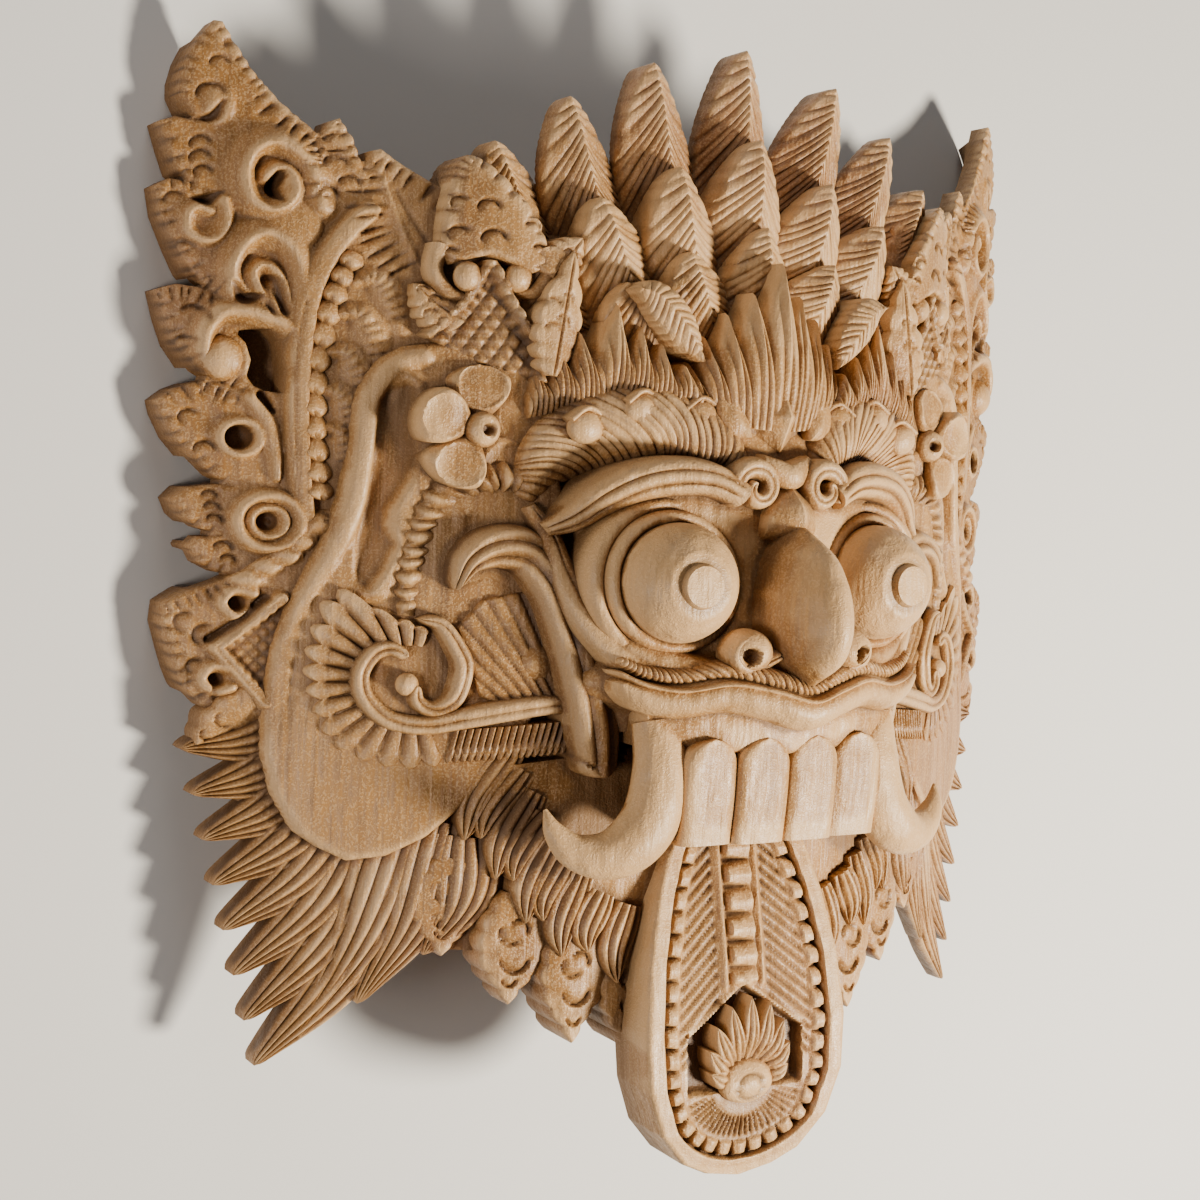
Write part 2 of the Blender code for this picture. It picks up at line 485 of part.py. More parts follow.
def add_cutters():
    """The hollow back, the free underside of the tongue, the floor and the piercings."""
    edge = DRAWN_WIDTH / 2 - REST_RIM * DRAWN_WIDTH / MASK_WIDTH
    columns = [-edge, -190, -160, -130, -105, -60, 60, 105, 130, 160, 190, edge]
    levels = [-270, 150, 190, 270]
    bm = bmesh.new()
    bmesh.ops.create_grid(bm, x_segments=len(columns) - 1, y_segments=len(levels) - 1, size=1.0)
    for vert in bm.verts:
        x = columns[round((vert.co.x + 1) / 2 * (len(columns) - 1))]
        y = levels[round((vert.co.y + 1) / 2 * (len(levels) - 1))]
        vert.co = (x, y, hollow_height(x, y))
    carry_down(bm, 3 * BURIED)
    finish_shape(bm, 'cut_hollow', CUTTERS, False)
    beard_side = [(-edge - 25, -280), (-edge + 12, -280), (-edge + 12, -52), (-edge - 25, -52)]
    add_plate('cut_beard_side', beard_side, lift=-drawn_depth(WING_WALL), bottom=2 * BURIED, cuts=(-edge,),
              collection=CUTTERS)
    wall = drawn_depth(FACE_WALL)
    top = FACE_CENTRE[2] + FACE_RADII[2] - wall
    add_ball('cut_face_hollow', (0, 2, top - 62), (FACE_RADII[0] - wall, FACE_RADII[1] - wall, 62),
             segments=12, rings=8, both=False, collection=CUTTERS)
    add_plate('cut_tongue', [(-62, -270), (-62, -192)], bottom=4 * BURIED, both=False,
              top=lambda co: 141 - drawn_depth(TONGUE_WALL), collection=CUTTERS)
    add_plate('cut_floor', [(-300, -300), (-300, 300)], bottom=5 * BURIED, both=False,
              top=lambda co: 0.0, collection=CUTTERS)
    pierced = [(-182, 92), (-182, 112), (-187, 116), (-196, 116), (-192, 108), (-191, 98), (-197, 92)]
    add_plate('cut_wing_hole', pierced, bottom=6 * BURIED, top=lambda co: 90.0, collection=CUTTERS)
    wide = CORNER_HOLE_WIDTH / 2 * DRAWN_WIDTH / MASK_WIDTH
    tall = CORNER_HOLE_LENGTH / 2 * DRAWN_HEIGHT / MASK_HEIGHT
    hole = [(-61 + across * wide, -54 + up * tall) for across, up in ((-1, 1), (1, 1), (1, -1), (-1, -1))]
    add_plate('cut_corner_hole', hole, bottom=6 * BURIED, top=lambda co: 140.0, collection=CUTTERS)
    channel = [(-145, 92), (-150, 62), (-153, 34), (-151, 12), (-145, 18), (-141, 30), (-145, 41),
               (-137, 54), (-136, 70), (-139, 84)]
    add_plate('cut_channel', channel, lift=1.0, bottom=170.0, collection=CUTTERS)


def make_wood():
    """Pale satin carving wood."""
    wood = bpy.data.materials.new('carved_wood')
    wood.use_nodes = True
    shader = wood.node_tree.nodes['Principled BSDF']
    shader.inputs['Base Color'].default_value = (0.56, 0.36, 0.17, 1.0)
    shader.inputs['Roughness'].default_value = 0.5
    shader.inputs['Metallic'].default_value = 0.0
    return wood


def new_collection(name):
    """A collection in the scene."""
    collection = bpy.data.collections.new(name)
    bpy.context.scene.collection.children.link(collection)
    return collection


def add_boolean(name, operation, collection):
    """Join or cut the mask with everything in a collection."""
    boolean = mask.modifiers.new(name, 'BOOLEAN')
    boolean.operation = operation
    boolean.operand_type = 'COLLECTION'
    boolean.collection = collection
    boolean.solver = 'MANIFOLD'


def carved_block():
    """The joined and cut mask as one mesh, without bubbles sealed between shapes."""
    graph = bpy.context.evaluated_depsgraph_get()
    mesh = bpy.data.meshes.new_from_object(mask.evaluated_get(graph))
    bm = bmesh.new()
    bm.from_mesh(mesh)
    waiting = set(bm.verts)
    shells = []
    while waiting:
        shell = set()
        reached = [waiting.pop()]
        while reached:
            vert = reached.pop()
            shell.add(vert)
            near = {edge.other_vert(vert) for edge in vert.link_edges} & waiting
            waiting -= near
            reached.extend(near)
        shells.append(shell)
    shells.sort(key=len)
    for bubble in shells[:-1]:
        bmesh.ops.delete(bm, geom=list(bubble), context='VERTS')
    bmesh.ops.dissolve_limit(bm, angle_limit=math.radians(1.0), verts=bm.verts, edges=bm.edges)
    bmesh.ops.triangulate(bm, faces=bm.faces)
    bm.to_mesh(mesh)
    bm.free()
    return mesh


def triangle_count(mesh):
    """Number of triangles in a mesh."""
    return sum(len(face.vertices) - 2 for face in mesh.polygons)


for item in list(bpy.data.objects):
    bpy.data.objects.remove(item)

MASK = new_collection('rangda_mask')
RELIEF = new_collection('relief_shapes')
CUTTERS = new_collection('cutters')

add_log()
add_crest()
add_hairline()
add_wing()
add_crown_ornament()
add_ear()
add_cheek()
add_beard()
add_side_ornament()
add_brow()
add_eye()
add_nose()
add_mouth()
add_tongue()
add_cutters()

# The mask starts as a small block inside the face and takes in all the relief.
core = bmesh.new()
bmesh.ops.create_cube(core, size=20.0)
bmesh.ops.translate(core, verts=core.verts, vec=(0, 4.3, 152))
mask = finish_shape(core, 'mask', MASK, False)
mask.hide_render = False
mask.display_type = 'TEXTURED'
add_boolean('relief', 'UNION', RELIEF)
add_boolean('cuts', 'DIFFERENCE', CUTTERS)
mask.data = carved_block()
mask.modifiers.clear()
mask.data.materials.clear()
mask.data.materials.append(make_wood())
thin = mask.modifiers.new('facets', 'DECIMATE')
thin.decimate_type = 'COLLAPSE'
thin.ratio = min(1.0, FACETS / triangle_count(mask.data))
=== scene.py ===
# Carved wooden rangda mask: the fine carving, and the colour of its one piece of wood with painted shade in
# the hollows and painted highlight on raised parts.
# Places are in millimetres on the carver's drawing: +X is the viewer's right, +Y the top of
# the mask, +Z the way it faces, and the floor is at zero. Shapes are drawn on the left side.

import math

import bmesh
import bpy
import numpy as np
from mathutils import Matrix, Vector


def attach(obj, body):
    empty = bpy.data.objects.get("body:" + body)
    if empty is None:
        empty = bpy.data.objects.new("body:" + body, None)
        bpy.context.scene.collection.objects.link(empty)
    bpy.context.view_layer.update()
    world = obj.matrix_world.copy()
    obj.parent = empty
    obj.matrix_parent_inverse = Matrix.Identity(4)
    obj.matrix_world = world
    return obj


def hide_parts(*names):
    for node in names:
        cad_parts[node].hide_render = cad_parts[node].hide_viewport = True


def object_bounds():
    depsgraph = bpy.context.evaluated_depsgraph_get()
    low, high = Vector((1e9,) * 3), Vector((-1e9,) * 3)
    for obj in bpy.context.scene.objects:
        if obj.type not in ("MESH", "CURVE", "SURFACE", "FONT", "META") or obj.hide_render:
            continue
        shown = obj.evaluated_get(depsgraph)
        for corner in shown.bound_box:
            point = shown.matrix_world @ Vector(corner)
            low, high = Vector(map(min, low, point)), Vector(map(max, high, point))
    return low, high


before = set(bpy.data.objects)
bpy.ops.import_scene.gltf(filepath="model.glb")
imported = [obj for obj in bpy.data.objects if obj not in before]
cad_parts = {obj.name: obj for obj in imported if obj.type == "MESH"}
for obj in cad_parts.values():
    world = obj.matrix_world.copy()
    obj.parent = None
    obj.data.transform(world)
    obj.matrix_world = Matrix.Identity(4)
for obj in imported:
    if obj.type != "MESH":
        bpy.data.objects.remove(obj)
cadLow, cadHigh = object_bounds()

drawnSides = np.array([460.4, 491.9, 208.8])  # the solid's box on the drawing
metresPerUnit = np.array(cadHigh - cadLow) / drawnSides

halfLog = {
    'top': 123.0,        # height of the log's crown
    'slope': 0.74,       # fall of its sides
    'shoulder': 84.0,    # where the crown turns into the sides
    'softness': 20.0,
    'wall': 12.0,        # thickness of the wings and the beard
    'hollowTop': 93.0,   # roof of the hollow back
    'crestHollow': 103.0,
    'rimFrom': 215.0,    # the wings' outer edge reaches the floor from here out
    'rimBelow': -52.0,
}


def logHeight(x):
    bend = np.log1p(np.exp((np.abs(x) - halfLog['shoulder']) / halfLog['softness']))
    return halfLog['top'] - halfLog['slope'] * halfLog['softness'] * bend


def backHeight(x, y):  # underside of the carving
    roof = np.where(y > 180, halfLog['crestHollow'], halfLog['hollowTop'])
    under = np.minimum(logHeight(x) - halfLog['wall'], roof)
    return np.where((np.abs(x) > halfLog['rimFrom']) & (y > halfLog['rimBelow']), 0.0, under)


def smoothCurve(points, shares):
    points = np.array(points, float)
    if points.ndim == 1:
        points = points[:, None]
    last = len(points) - 1
    place = np.clip(shares, 0, 1) * last
    span = np.minimum(place.astype(int), last - 1)
    t = (place - span)[..., None]
    b, c = points[span], points[span + 1]
    a = np.where((span > 0)[..., None], points[np.maximum(span - 1, 0)], 2 * b - c)
    d = np.where((span < last - 1)[..., None], points[np.minimum(span + 2, last)], 2 * c - b)
    return 0.5 * (2 * b + (c - a) * t + (2 * a - 5 * b + 4 * c - d) * t * t
                  + (3 * b - a - 3 * c + d) * t ** 3)


def along(values, shares):  # one number, or a list spread evenly along a shape
    if np.isscalar(values):
        return np.full(np.shape(shares), float(values))
    return smoothCurve(values, shares)[..., 0]


def straightLine(points, shares):
    places = np.linspace(0, 1, len(points))
    return np.stack([np.interp(shares, places, points[:, axis]) for axis in range(3)], 1)


def onLog(points, lift):
    return np.array([(p[0], p[1], p[2] if len(p) > 2 else float(logHeight(p[0])) + lift)
                     for p in points])


def step(value, low, high):  # 0 below low, 1 above high, smooth between
    t = np.clip((value - low) / (high - low), 0, 1)
    return t * t * (3 - 2 * t)


def valleys(turns, sharp=1.4):  # 1 in the bottom of each groove, 0 on the ridge between
    return (1 - np.abs(np.sin(np.pi * turns))) ** sharp


def crescent(centre, radius, heading, depth=2.2):
    # a thumbnail cut: steep outside, running out towards its centre
    angle = math.radians(heading)

    def cut(x, y):
        ahead = (x - centre[0]) * math.cos(angle) + (y - centre[1]) * math.sin(angle)
        aside = (x - centre[0]) * -math.sin(angle) + (y - centre[1]) * math.cos(angle)
        far = np.hypot(ahead, aside)
        ramp = np.clip((far - 0.35 * radius) / (0.65 * radius), 0, 1) ** 1.5
        inside = 1 - step(far, radius - 0.2, radius + 0.9)
        return depth * ramp * inside * step(ahead, -0.35 * radius, 0.4 * radius)
    return cut


def drill(centre, radius, depth):
    def cut(x, y):
        far = np.hypot(x - centre[0], y - centre[1])
        return depth * (1 - step(far, radius - 1.0, radius + 0.6))
    return cut


def crescents(rows, depth):
    return [crescent((x, y), radius, heading, depth) for x, y, radius, heading in rows]


def spots(path, count=40):  # a smooth path as many points
    return smoothCurve(path, np.linspace(0, 1, count))[:, :2]


def nearPath(x, y, line):  # distance to a line of points, share along it, side of it, nearest place
    best = np.full(x.shape, 1e9)
    share, side, nearX, nearY = (np.zeros(x.shape) for _ in range(4))
    for spot, (a, b) in enumerate(zip(line[:-1], line[1:])):
        dx, dy = b[0] - a[0], b[1] - a[1]
        t = np.clip(((x - a[0]) * dx + (y - a[1]) * dy) / (dx * dx + dy * dy + 1e-9), 0, 1)
        px, py = a[0] + t * dx, a[1] + t * dy
        far = np.hypot(x - px, y - py)
        near = far < best
        best = np.where(near, far, best)
        share = np.where(near, (spot + t) / (len(line) - 1), share)
        side = np.where(near, np.sign(dx * (y - py) - dy * (x - px)), side)
        nearX, nearY = np.where(near, px, nearX), np.where(near, py, nearY)
    return best, share, side, nearX, nearY


def stroke(path, half, height, right=None, power=2.0):
    # height of a band along a path, or depth of a cut; it can have a wider flank on its left
    line = spots(path)
    reach = max(np.max(half), np.max(right if right is not None else 0))

    def shape(x, y):
        z = np.zeros_like(x)
        box = ((x > line[:, 0].min() - reach) & (x < line[:, 0].max() + reach)
               & (y > line[:, 1].min() - reach) & (y < line[:, 1].max() + reach))
        if box.any():
            far, share, side = nearPath(x[box], y[box], line)[:3]
            wide = along(half, share)
            if right is not None:
                wide = np.where(side > 0, wide, along(right, share))
            z[box] = along(height, share) * np.clip(1 - (far / np.maximum(wide, 0.1)) ** power, 0, 1)
        return z
    return shape


def dome(centre, radii, height):
    def shape(x, y):
        far = ((x - centre[0]) / radii[0]) ** 2 + ((y - centre[1]) / radii[1]) ** 2
        return height * np.sqrt(np.clip(1 - far, 0, 1))
    return shape


def comb(path, count, low, high, depth):
    # a row of short gouge cuts across a path, between two distances from it
    line = spots(path)

    def shape(x, y):
        far, share = nearPath(x, y, line)[:2]
        inward = np.clip((far - low) / (high - low), 0, 1)
        reach = step(far, low - 0.8, low + 0.8) * (1 - inward ** 3)
        ends = (share > 0) & (share < 1)
        turns = share * count + 0.1 * np.sin(share * count * 2.7)
        return depth * valleys(turns, 1.2 + 3.0 * inward) * reach * ends
    return shape


def within(x, y, outline):  # inside a closed outline
    inside = np.zeros(x.shape, bool)
    for (ax, ay), (bx, by) in zip(outline, list(outline[1:]) + [outline[0]]):
        crosses = (ay > y) != (by > y)
        inside ^= crosses & (x < (bx - ax) * (y - ay) / (by - ay + 1e-12) + ax)
    return inside


sharpEdge = 42.0   # edges that turn by more degrees than this stay crisp
grooveShadeDepth = 5.0   # depth at which a groove's painted shade is at its darkest
gapInside, gapOutside = 0.4, 1.0  # a vertex this near a canvas outline moves onto it, in cells


class Region:  # part of the carving; a shape is on both sides unless it is in the middle
    def __init__(self, name):
        self.name = name
        self.bm = bmesh.new()
        # each vertex's 'groove' value is painted shade: how far the wood is painted dark in a cut
        self.groove = self.bm.verts.layers.float.new('groove')
        self.twin = self.bm.verts.layers.int.new('twin')

    def grid(self, lanes, rows):
        verts = bmesh.ops.create_grid(self.bm, x_segments=lanes, y_segments=rows, size=1.0)['verts']
        flat = np.array([vert.co[:2] for vert in verts])
        return verts, flat[:, 0], (flat[:, 1] + 1) / 2

    def put(self, verts, x, y, z, groove, middle):
        side = 0 if middle else 1
        for vert, place, deep in zip(verts, np.stack([x, y, z], 1).tolist(), groove.tolist()):
            vert.co = place
            vert[self.groove] = deep
            vert[self.twin] = side

    def close(self, verts, bury, back, middle, pierced=False):
        # walls run down from the rim of the surface to a floor; the fretted wings stay open below
        rim = {edge for vert in verts for edge in vert.link_edges if edge.is_boundary}
        walls = bmesh.ops.extrude_edge_only(self.bm, edges=list(rim))['geom']
        low = {item for item in walls if isinstance(item, bmesh.types.BMVert)}
        for vert in low:
            x, y, z = vert.co
            floor = z - bury if back is None else float(backHeight(x, y)) + back
            vert.co.z = min(floor, z - 0.5)
            vert[self.groove] = 0.0
            vert[self.twin] = 0 if middle else 1
        edges = [item for item in walls if isinstance(item, bmesh.types.BMEdge)
                 and item.verts[0] in low and item.verts[1] in low]
        if pierced:
            bmesh.ops.triangle_fill(self.bm, use_beauty=False, edges=edges, normal=(0, 0, -1))
        else:
            bmesh.ops.contextual_create(self.bm, geom=edges)

    def carve(self, verts, x, y, base, s, t, half, length, rise=3.0, power=2.0, bulge=1.0, taper=0.5,
              ribs=0, ribDepth=0.9, ribSharp=1.4, flutes=0, fluteDepth=0.9, fluteSharp=1.4, edge=1.0,
              raised=(), sunk=(), cuts=(), relief=None, inset=None, blur=None, middle=False):
        crown = np.clip(1 - np.abs(s) ** power, 0, 1) ** bulge
        z = base + along(rise, t) * crown * (1 - taper * t * t)
        deep = np.zeros_like(z)
        if ribs:
            turns = t * ribs + 0.12 * np.sin(t * ribs * 2.3)
            uneven = 0.8 + 0.2 * np.sin(t * ribs * 3.9 + s)
            deep += ribDepth * uneven * valleys(turns, ribSharp) * np.clip((1 - t) * length / 5, 0, 1)
        if flutes:
            fade = np.clip((1 - t) * length / 6, 0.1, 1)
            deep += fluteDepth * valleys((s + 1) / 2 * flutes, fluteSharp) * fade
        for shape in cuts:
            deep = np.maximum(deep, shape(x, y))
        if raised:
            z = z + np.maximum.reduce([shape(x, y) for shape in raised])
        for shape in sunk:
            z = z - shape(x, y)
        if relief is not None:
            shape = relief(x, y, s, t)
            z = z + np.maximum(shape, 0)
            deep = deep + np.maximum(-shape, 0)
        if inset is None:
            inset = (1 - np.abs(s)) * half
        near = np.clip(inset / max(edge, 0.01), 0, 1)
        drop = edge * (1 - np.sqrt(np.clip(1 - (1 - near) ** 2, 0, 1)))
        z = z - deep - drop
        if blur:  # takes the steps out of the steep flanks
            field = np.pad(z.reshape(blur), 1, mode='edge')
            around = field[:-2, 1:-1] + field[2:, 1:-1] + field[1:-1, :-2] + field[1:-1, 2:]
            z = (0.5 * field[1:-1, 1:-1] + 0.125 * around).ravel()
        # the depth of the cuts is stored as painted shade in the grooves
        self.put(verts, x, y, z, np.clip(deep / grooveShadeDepth, 0, 1) ** 0.7, middle)

    def strip(self, spine, widths, lift=3.0, lanes=12, rows=16, shear=(0, 0), notches=0,
              notchDepth=1.2, hug=0.0, point=None, bury=12.0, back=None, middle=False, **look):
        # a leaf, feather, lock, band or bar along a spine
        spine = onLog(spine, lift)
        if look.get('ribs'):
            rows = look['ribs'] * 6
        if look.get('flutes'):
            lanes = look['flutes'] * 6
        verts, s, t = self.grid(lanes, rows)
        fine = smoothCurve(spine, np.linspace(0, 1, 60))
        length = float(np.linalg.norm(np.diff(fine, axis=0), axis=1).sum())
        lean = np.where(s < 0, shear[0], shear[1]) * np.clip(np.minimum(t, 1 - t) * 5, 0, 1)
        u = np.clip(t + lean * np.abs(s) * np.maximum(along(widths, t), 0.3) / length, 0, 1)
        centre = smoothCurve(spine, u)
        ahead = smoothCurve(spine, np.minimum(u + 0.01, 1)) - smoothCurve(spine, np.maximum(u - 0.01, 0))
        norm = np.hypot(ahead[:, 0], ahead[:, 1]) + 1e-9
        half = np.maximum(along(widths, u), 0.3)
        if notches:
            half = half - notchDepth * valleys(u * notches, 1.0) * np.clip((1 - u) * length / 8, 0, 1)
            half = np.maximum(half, 0.3)
        ends = [1 - u] if point or not np.isscalar(widths) and widths[-1] <= 3 else []
        if not np.isscalar(widths) and widths[0] <= 3:
            ends.append(u)
        for away in ends:  # rounds the tips
            near = np.clip(away * length / (point or 5.0), 0, 1)
            half = half * np.sqrt(np.clip(1 - (1 - near) ** 2, 0.002, 1))
        x = centre[:, 0] + ahead[:, 1] / norm * s * half
        y = centre[:, 1] - ahead[:, 0] / norm * s * half
        base = centre[:, 2] + hug * (logHeight(x) - logHeight(centre[:, 0]))
        self.carve(verts, x, y, base, s, t, half, length, middle=middle, **look)
        self.close(verts, bury, back, middle)

    def spread(self, foot, tip, lift=3.0, flutes=12, rows=20, teeth=0, toothDepth=0.12, arch=0.0,
               ragged=False, bury=12.0, back=None, middle=False, **look):
        # a fan of flutes from a foot line to a toothed or ragged edge
        foot, tip = onLog(foot, lift), onLog(tip, lift)
        verts, s, t = self.grid(flutes * 6, rows)
        share = (s + 1) / 2
        low = smoothCurve(foot, share)
        high = straightLine(tip, share) if ragged else smoothCurve(tip, share)
        reach = t * (1 - toothDepth * valleys(share * teeth, 1.0)) if teeth else t
        place = low + (high - low) * reach[:, None]
        length = float(np.linalg.norm(high - low, axis=1).mean())
        half = float(np.linalg.norm(tip[-1] - tip[0])) / 2
        base = place[:, 2] + arch * np.sin(np.pi * np.clip(t, 0, 1))
        inset = np.minimum((1 - np.abs(s)) * half, (1 - t) * length)
        self.carve(verts, place[:, 0], place[:, 1], base, s, t, half, length, flutes=flutes, inset=inset,
                   middle=middle, **look)
        self.close(verts, bury, back, middle)

    def canvas(self, outline, lift=3.0, cell=1.0, gone=(), bury=12.0, back=None, middle=False, **look):
        # a broad surface inside a closed outline, with parts cut away
        points = np.array(outline, float)
        low, high = points.min(0) - cell, points.max(0) + cell
        lanes, rows = np.ceil((high - low) / cell).astype(int)
        verts, s, t = self.grid(lanes, rows)
        x, y = low[0] + (s + 1) / 2 * lanes * cell, low[1] + t * rows * cell
        far, _, _, nearX, nearY = nearPath(x, y, list(outline) + [outline[0]])
        outside = ~within(x, y, outline)
        for hole in gone:
            reach, _, _, holeX, holeY = nearPath(x, y, list(hole) + [hole[0]])
            nearer = reach < far
            pairs = ((reach, far), (holeX, nearX), (holeY, nearY))
            far, nearX, nearY = (np.where(nearer, a, b) for a, b in pairs)
            outside |= within(x, y, hole)
        snap = far < np.where(outside, gapOutside, gapInside) * cell
        x, y = np.where(snap, nearX, x), np.where(snap, nearY, y)
        inset = np.where(snap | outside, 0, far)
        self.carve(verts, x, y, logHeight(x) + lift, s, t, 1.0, 1.0, inset=inset, rise=0, middle=middle,
                   blur=(rows + 1, lanes + 1), **look)
        out = [vert for vert, away in zip(verts, outside & ~snap) if away]
        bmesh.ops.delete(self.bm, geom=out, context='VERTS')
        verts = [vert for vert in verts if vert.is_valid]
        bmesh.ops.delete(self.bm, geom=[vert for vert in verts if not vert.link_faces], context='VERTS')
        verts = [vert for vert in verts if vert.is_valid]
        self.close(verts, bury, back, middle, pierced=True)

    def panel(self, left, right, lift=3.0, lanes=24, rows=24, straight=False, ownHeight=False,
              bury=12.0, back=None, middle=False, **look):
        # a surface between two edges
        left, right = onLog(left, lift), onLog(right, lift)
        verts, s, t = self.grid(lanes, rows)
        line = straightLine if straight else smoothCurve
        a, b = line(left, t), line(right, t)
        place = a + (b - a) * ((s + 1) / 2)[:, None]
        half = np.linalg.norm((b - a)[:, :2], axis=1) / 2
        length = float(np.linalg.norm(np.diff(left, axis=0), axis=1).sum())
        base = place[:, 2] if ownHeight else logHeight(place[:, 0]) + lift
        self.carve(verts, place[:, 0], place[:, 1], base, s, t, half, length, middle=middle, **look)
        self.close(verts, bury, back, middle)

    def tube(self, path, widths, height, sides, rows, lift=3.0, middle=False):
        # a round bar or tusk
        path = onLog(path, lift)
        verts, s, t = self.grid(sides, rows)
        centre = smoothCurve(path, t)
        ahead = smoothCurve(path, np.minimum(t + 0.01, 1)) - smoothCurve(path, np.maximum(t - 0.01, 0))
        ahead /= np.linalg.norm(ahead, axis=1)[:, None]
        side = np.cross(ahead, (0.0, 0.0, 1.0))
        side /= np.linalg.norm(side, axis=1)[:, None]
        up = np.cross(side, ahead)
        half = np.maximum(along(widths, t), 0.2)
        turn = np.pi * s
        place = (centre + side * (np.sin(turn) * half)[:, None]
                 + up * (np.cos(turn) * half * height)[:, None])
        self.put(verts, place[:, 0], place[:, 1], place[:, 2], np.zeros_like(t), middle)
        bmesh.ops.remove_doubles(self.bm, verts=verts, dist=0.001)
        verts = [vert for vert in verts if vert.is_valid]
        rim = list({edge for vert in verts for edge in vert.link_edges if edge.is_boundary})
        bmesh.ops.holes_fill(self.bm, edges=rim, sides=0)

    def ball(self, centre, radii, segments=24, rings=14, cuts=(), middle=False):
        made = bmesh.ops.create_uvsphere(self.bm, u_segments=segments, v_segments=rings, radius=1)
        verts = made['verts']
        place = np.array([vert.co[:] for vert in verts]) * radii + centre
        deep = np.zeros(len(verts))
        for cut in cuts:
            deep = np.maximum(deep, cut(place[:, 0], place[:, 1]) * (place[:, 2] > centre[2]))
        # the depth of a cut in a ball is painted shade in it
        self.put(verts, place[:, 0], place[:, 1], place[:, 2] - deep, np.clip(deep / 2, 0, 1), middle)

    def scroll(self, centre, radius, turns, start, width, lift=4.0, inner=0.28, climb=2.0, **look):
        # a volute that winds in and rises a little
        path = []
        for count in range(17):
            share = count / 16
            angle = math.radians(start) + share * turns * 2 * math.pi
            reach = radius * (1 - (1 - inner) * share)
            x, y = centre[0] + reach * math.cos(angle), centre[1] + reach * math.sin(angle)
            path.append((x, y, float(logHeight(x)) + lift + climb * share))
        self.strip(path, (width, width, width * 0.8, width * 0.45), **look)

    def finish(self):
        bm = self.bm
        bmesh.ops.recalc_face_normals(bm, faces=bm.faces)
        faces = [face for face in bm.faces if face.verts[0][self.twin]]
        copied = bmesh.ops.duplicate(bm, geom=faces)['geom']
        verts = [item for item in copied if isinstance(item, bmesh.types.BMVert)]
        bmesh.ops.scale(bm, vec=(-1, 1, 1), verts=verts)
        mirrored = [item for item in copied if isinstance(item, bmesh.types.BMFace)]
        bmesh.ops.reverse_faces(bm, faces=mirrored)
        mesh = bpy.data.meshes.new(self.name)
        bmesh.ops.triangulate(bm, faces=[face for face in bm.faces if len(face.verts) > 4])
        bm.to_mesh(mesh)
        bm.free()
        piece = bpy.data.objects.new(self.name, mesh)
        bpy.context.scene.collection.objects.link(piece)
        mesh.shade_smooth()
        mesh.set_sharp_from_angle(angle=math.radians(sharpEdge))
        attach(piece, 'root')
        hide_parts('mask')
        count = sum(len(face.vertices) - 2 for face in mesh.polygons)
        print(f'{self.name}: {count} triangles')
        return piece


# Camera

camera = {
    'place': (-481.3, 63.3, 861.9),
    'azimuth': -29.295,
    'elevation': 3.836,
    'roll': 1.669,
    'lens': 60.0,
    'sensor': 36.0,
}


def makeCamera():
    azimuth, elevation, roll = (math.radians(camera[key]) for key in ('azimuth', 'elevation', 'roll'))
    towards = Vector((math.sin(azimuth) * math.cos(elevation), math.sin(elevation),
                      math.cos(azimuth) * math.cos(elevation)))
    right = (-towards).cross(Vector((0, 1, 0))).normalized()
    up = right.cross(-towards)
    across = right * math.cos(roll) + up * math.sin(roll)
    upward = -right * math.sin(roll) + up * math.cos(roll)
    data = bpy.data.cameras.new('camera')
    data.lens = camera['lens']
    data.sensor_width = camera['sensor']
    data.clip_start = 0.05
    body = bpy.data.objects.new('camera', data)
    turned = Matrix((across, upward, towards)).transposed().to_4x4()
    place = Vector(camera['place'][i] * metresPerUnit[i] for i in range(3))
    body.matrix_world = Matrix.Translation(place) @ turned
    bpy.context.scene.collection.objects.link(body)
    bpy.context.scene.camera = body


def makeLight(name, place, size, power, colour):
    data = bpy.data.lights.new(name, 'AREA')
    data.shape = 'DISK'
    data.size = size
    data.energy = power
    data.color = colour
    lamp = bpy.data.objects.new(name, data)
    lamp.location = place
    lamp.rotation_euler = (-Vector(place)).to_track_quat('-Z', 'Y').to_euler()
    bpy.context.scene.collection.objects.link(lamp)


makeCamera()
print('camera made')


# Ground under the relief, with a plain underside

ground = {
    'edge': [(-50, -172), (-110, -140), (-172, -146), (-186, -120), (-196, -84), (-200, -52), (-206, -22),
             (-202, 8), (-199, 34), (-196, 60), (-186, 78), (-181, 90), (-181, 114), (-192, 126),
             (-198, 140), (-196, 152)],
    'lower': -2.0,
    'upper': -9.0,
}


def makeGround():
    part = Region('mask_ground')
    left = ground['edge']
    right = [(-x, y) for x, y in left]
    part.panel(left, right, lift=ground['lower'], lanes=110, rows=90, straight=True, rise=0, edge=2.0,
               back=0.0, middle=True)
    part.panel([(-112, 160), (-112, 140), (-112, 120)], [(112, 160), (112, 140), (112, 120)],
               lift=ground['upper'], lanes=40, rows=12, rise=0, edge=2.0, back=0.6, middle=True)
    return part


# Crest of feathers

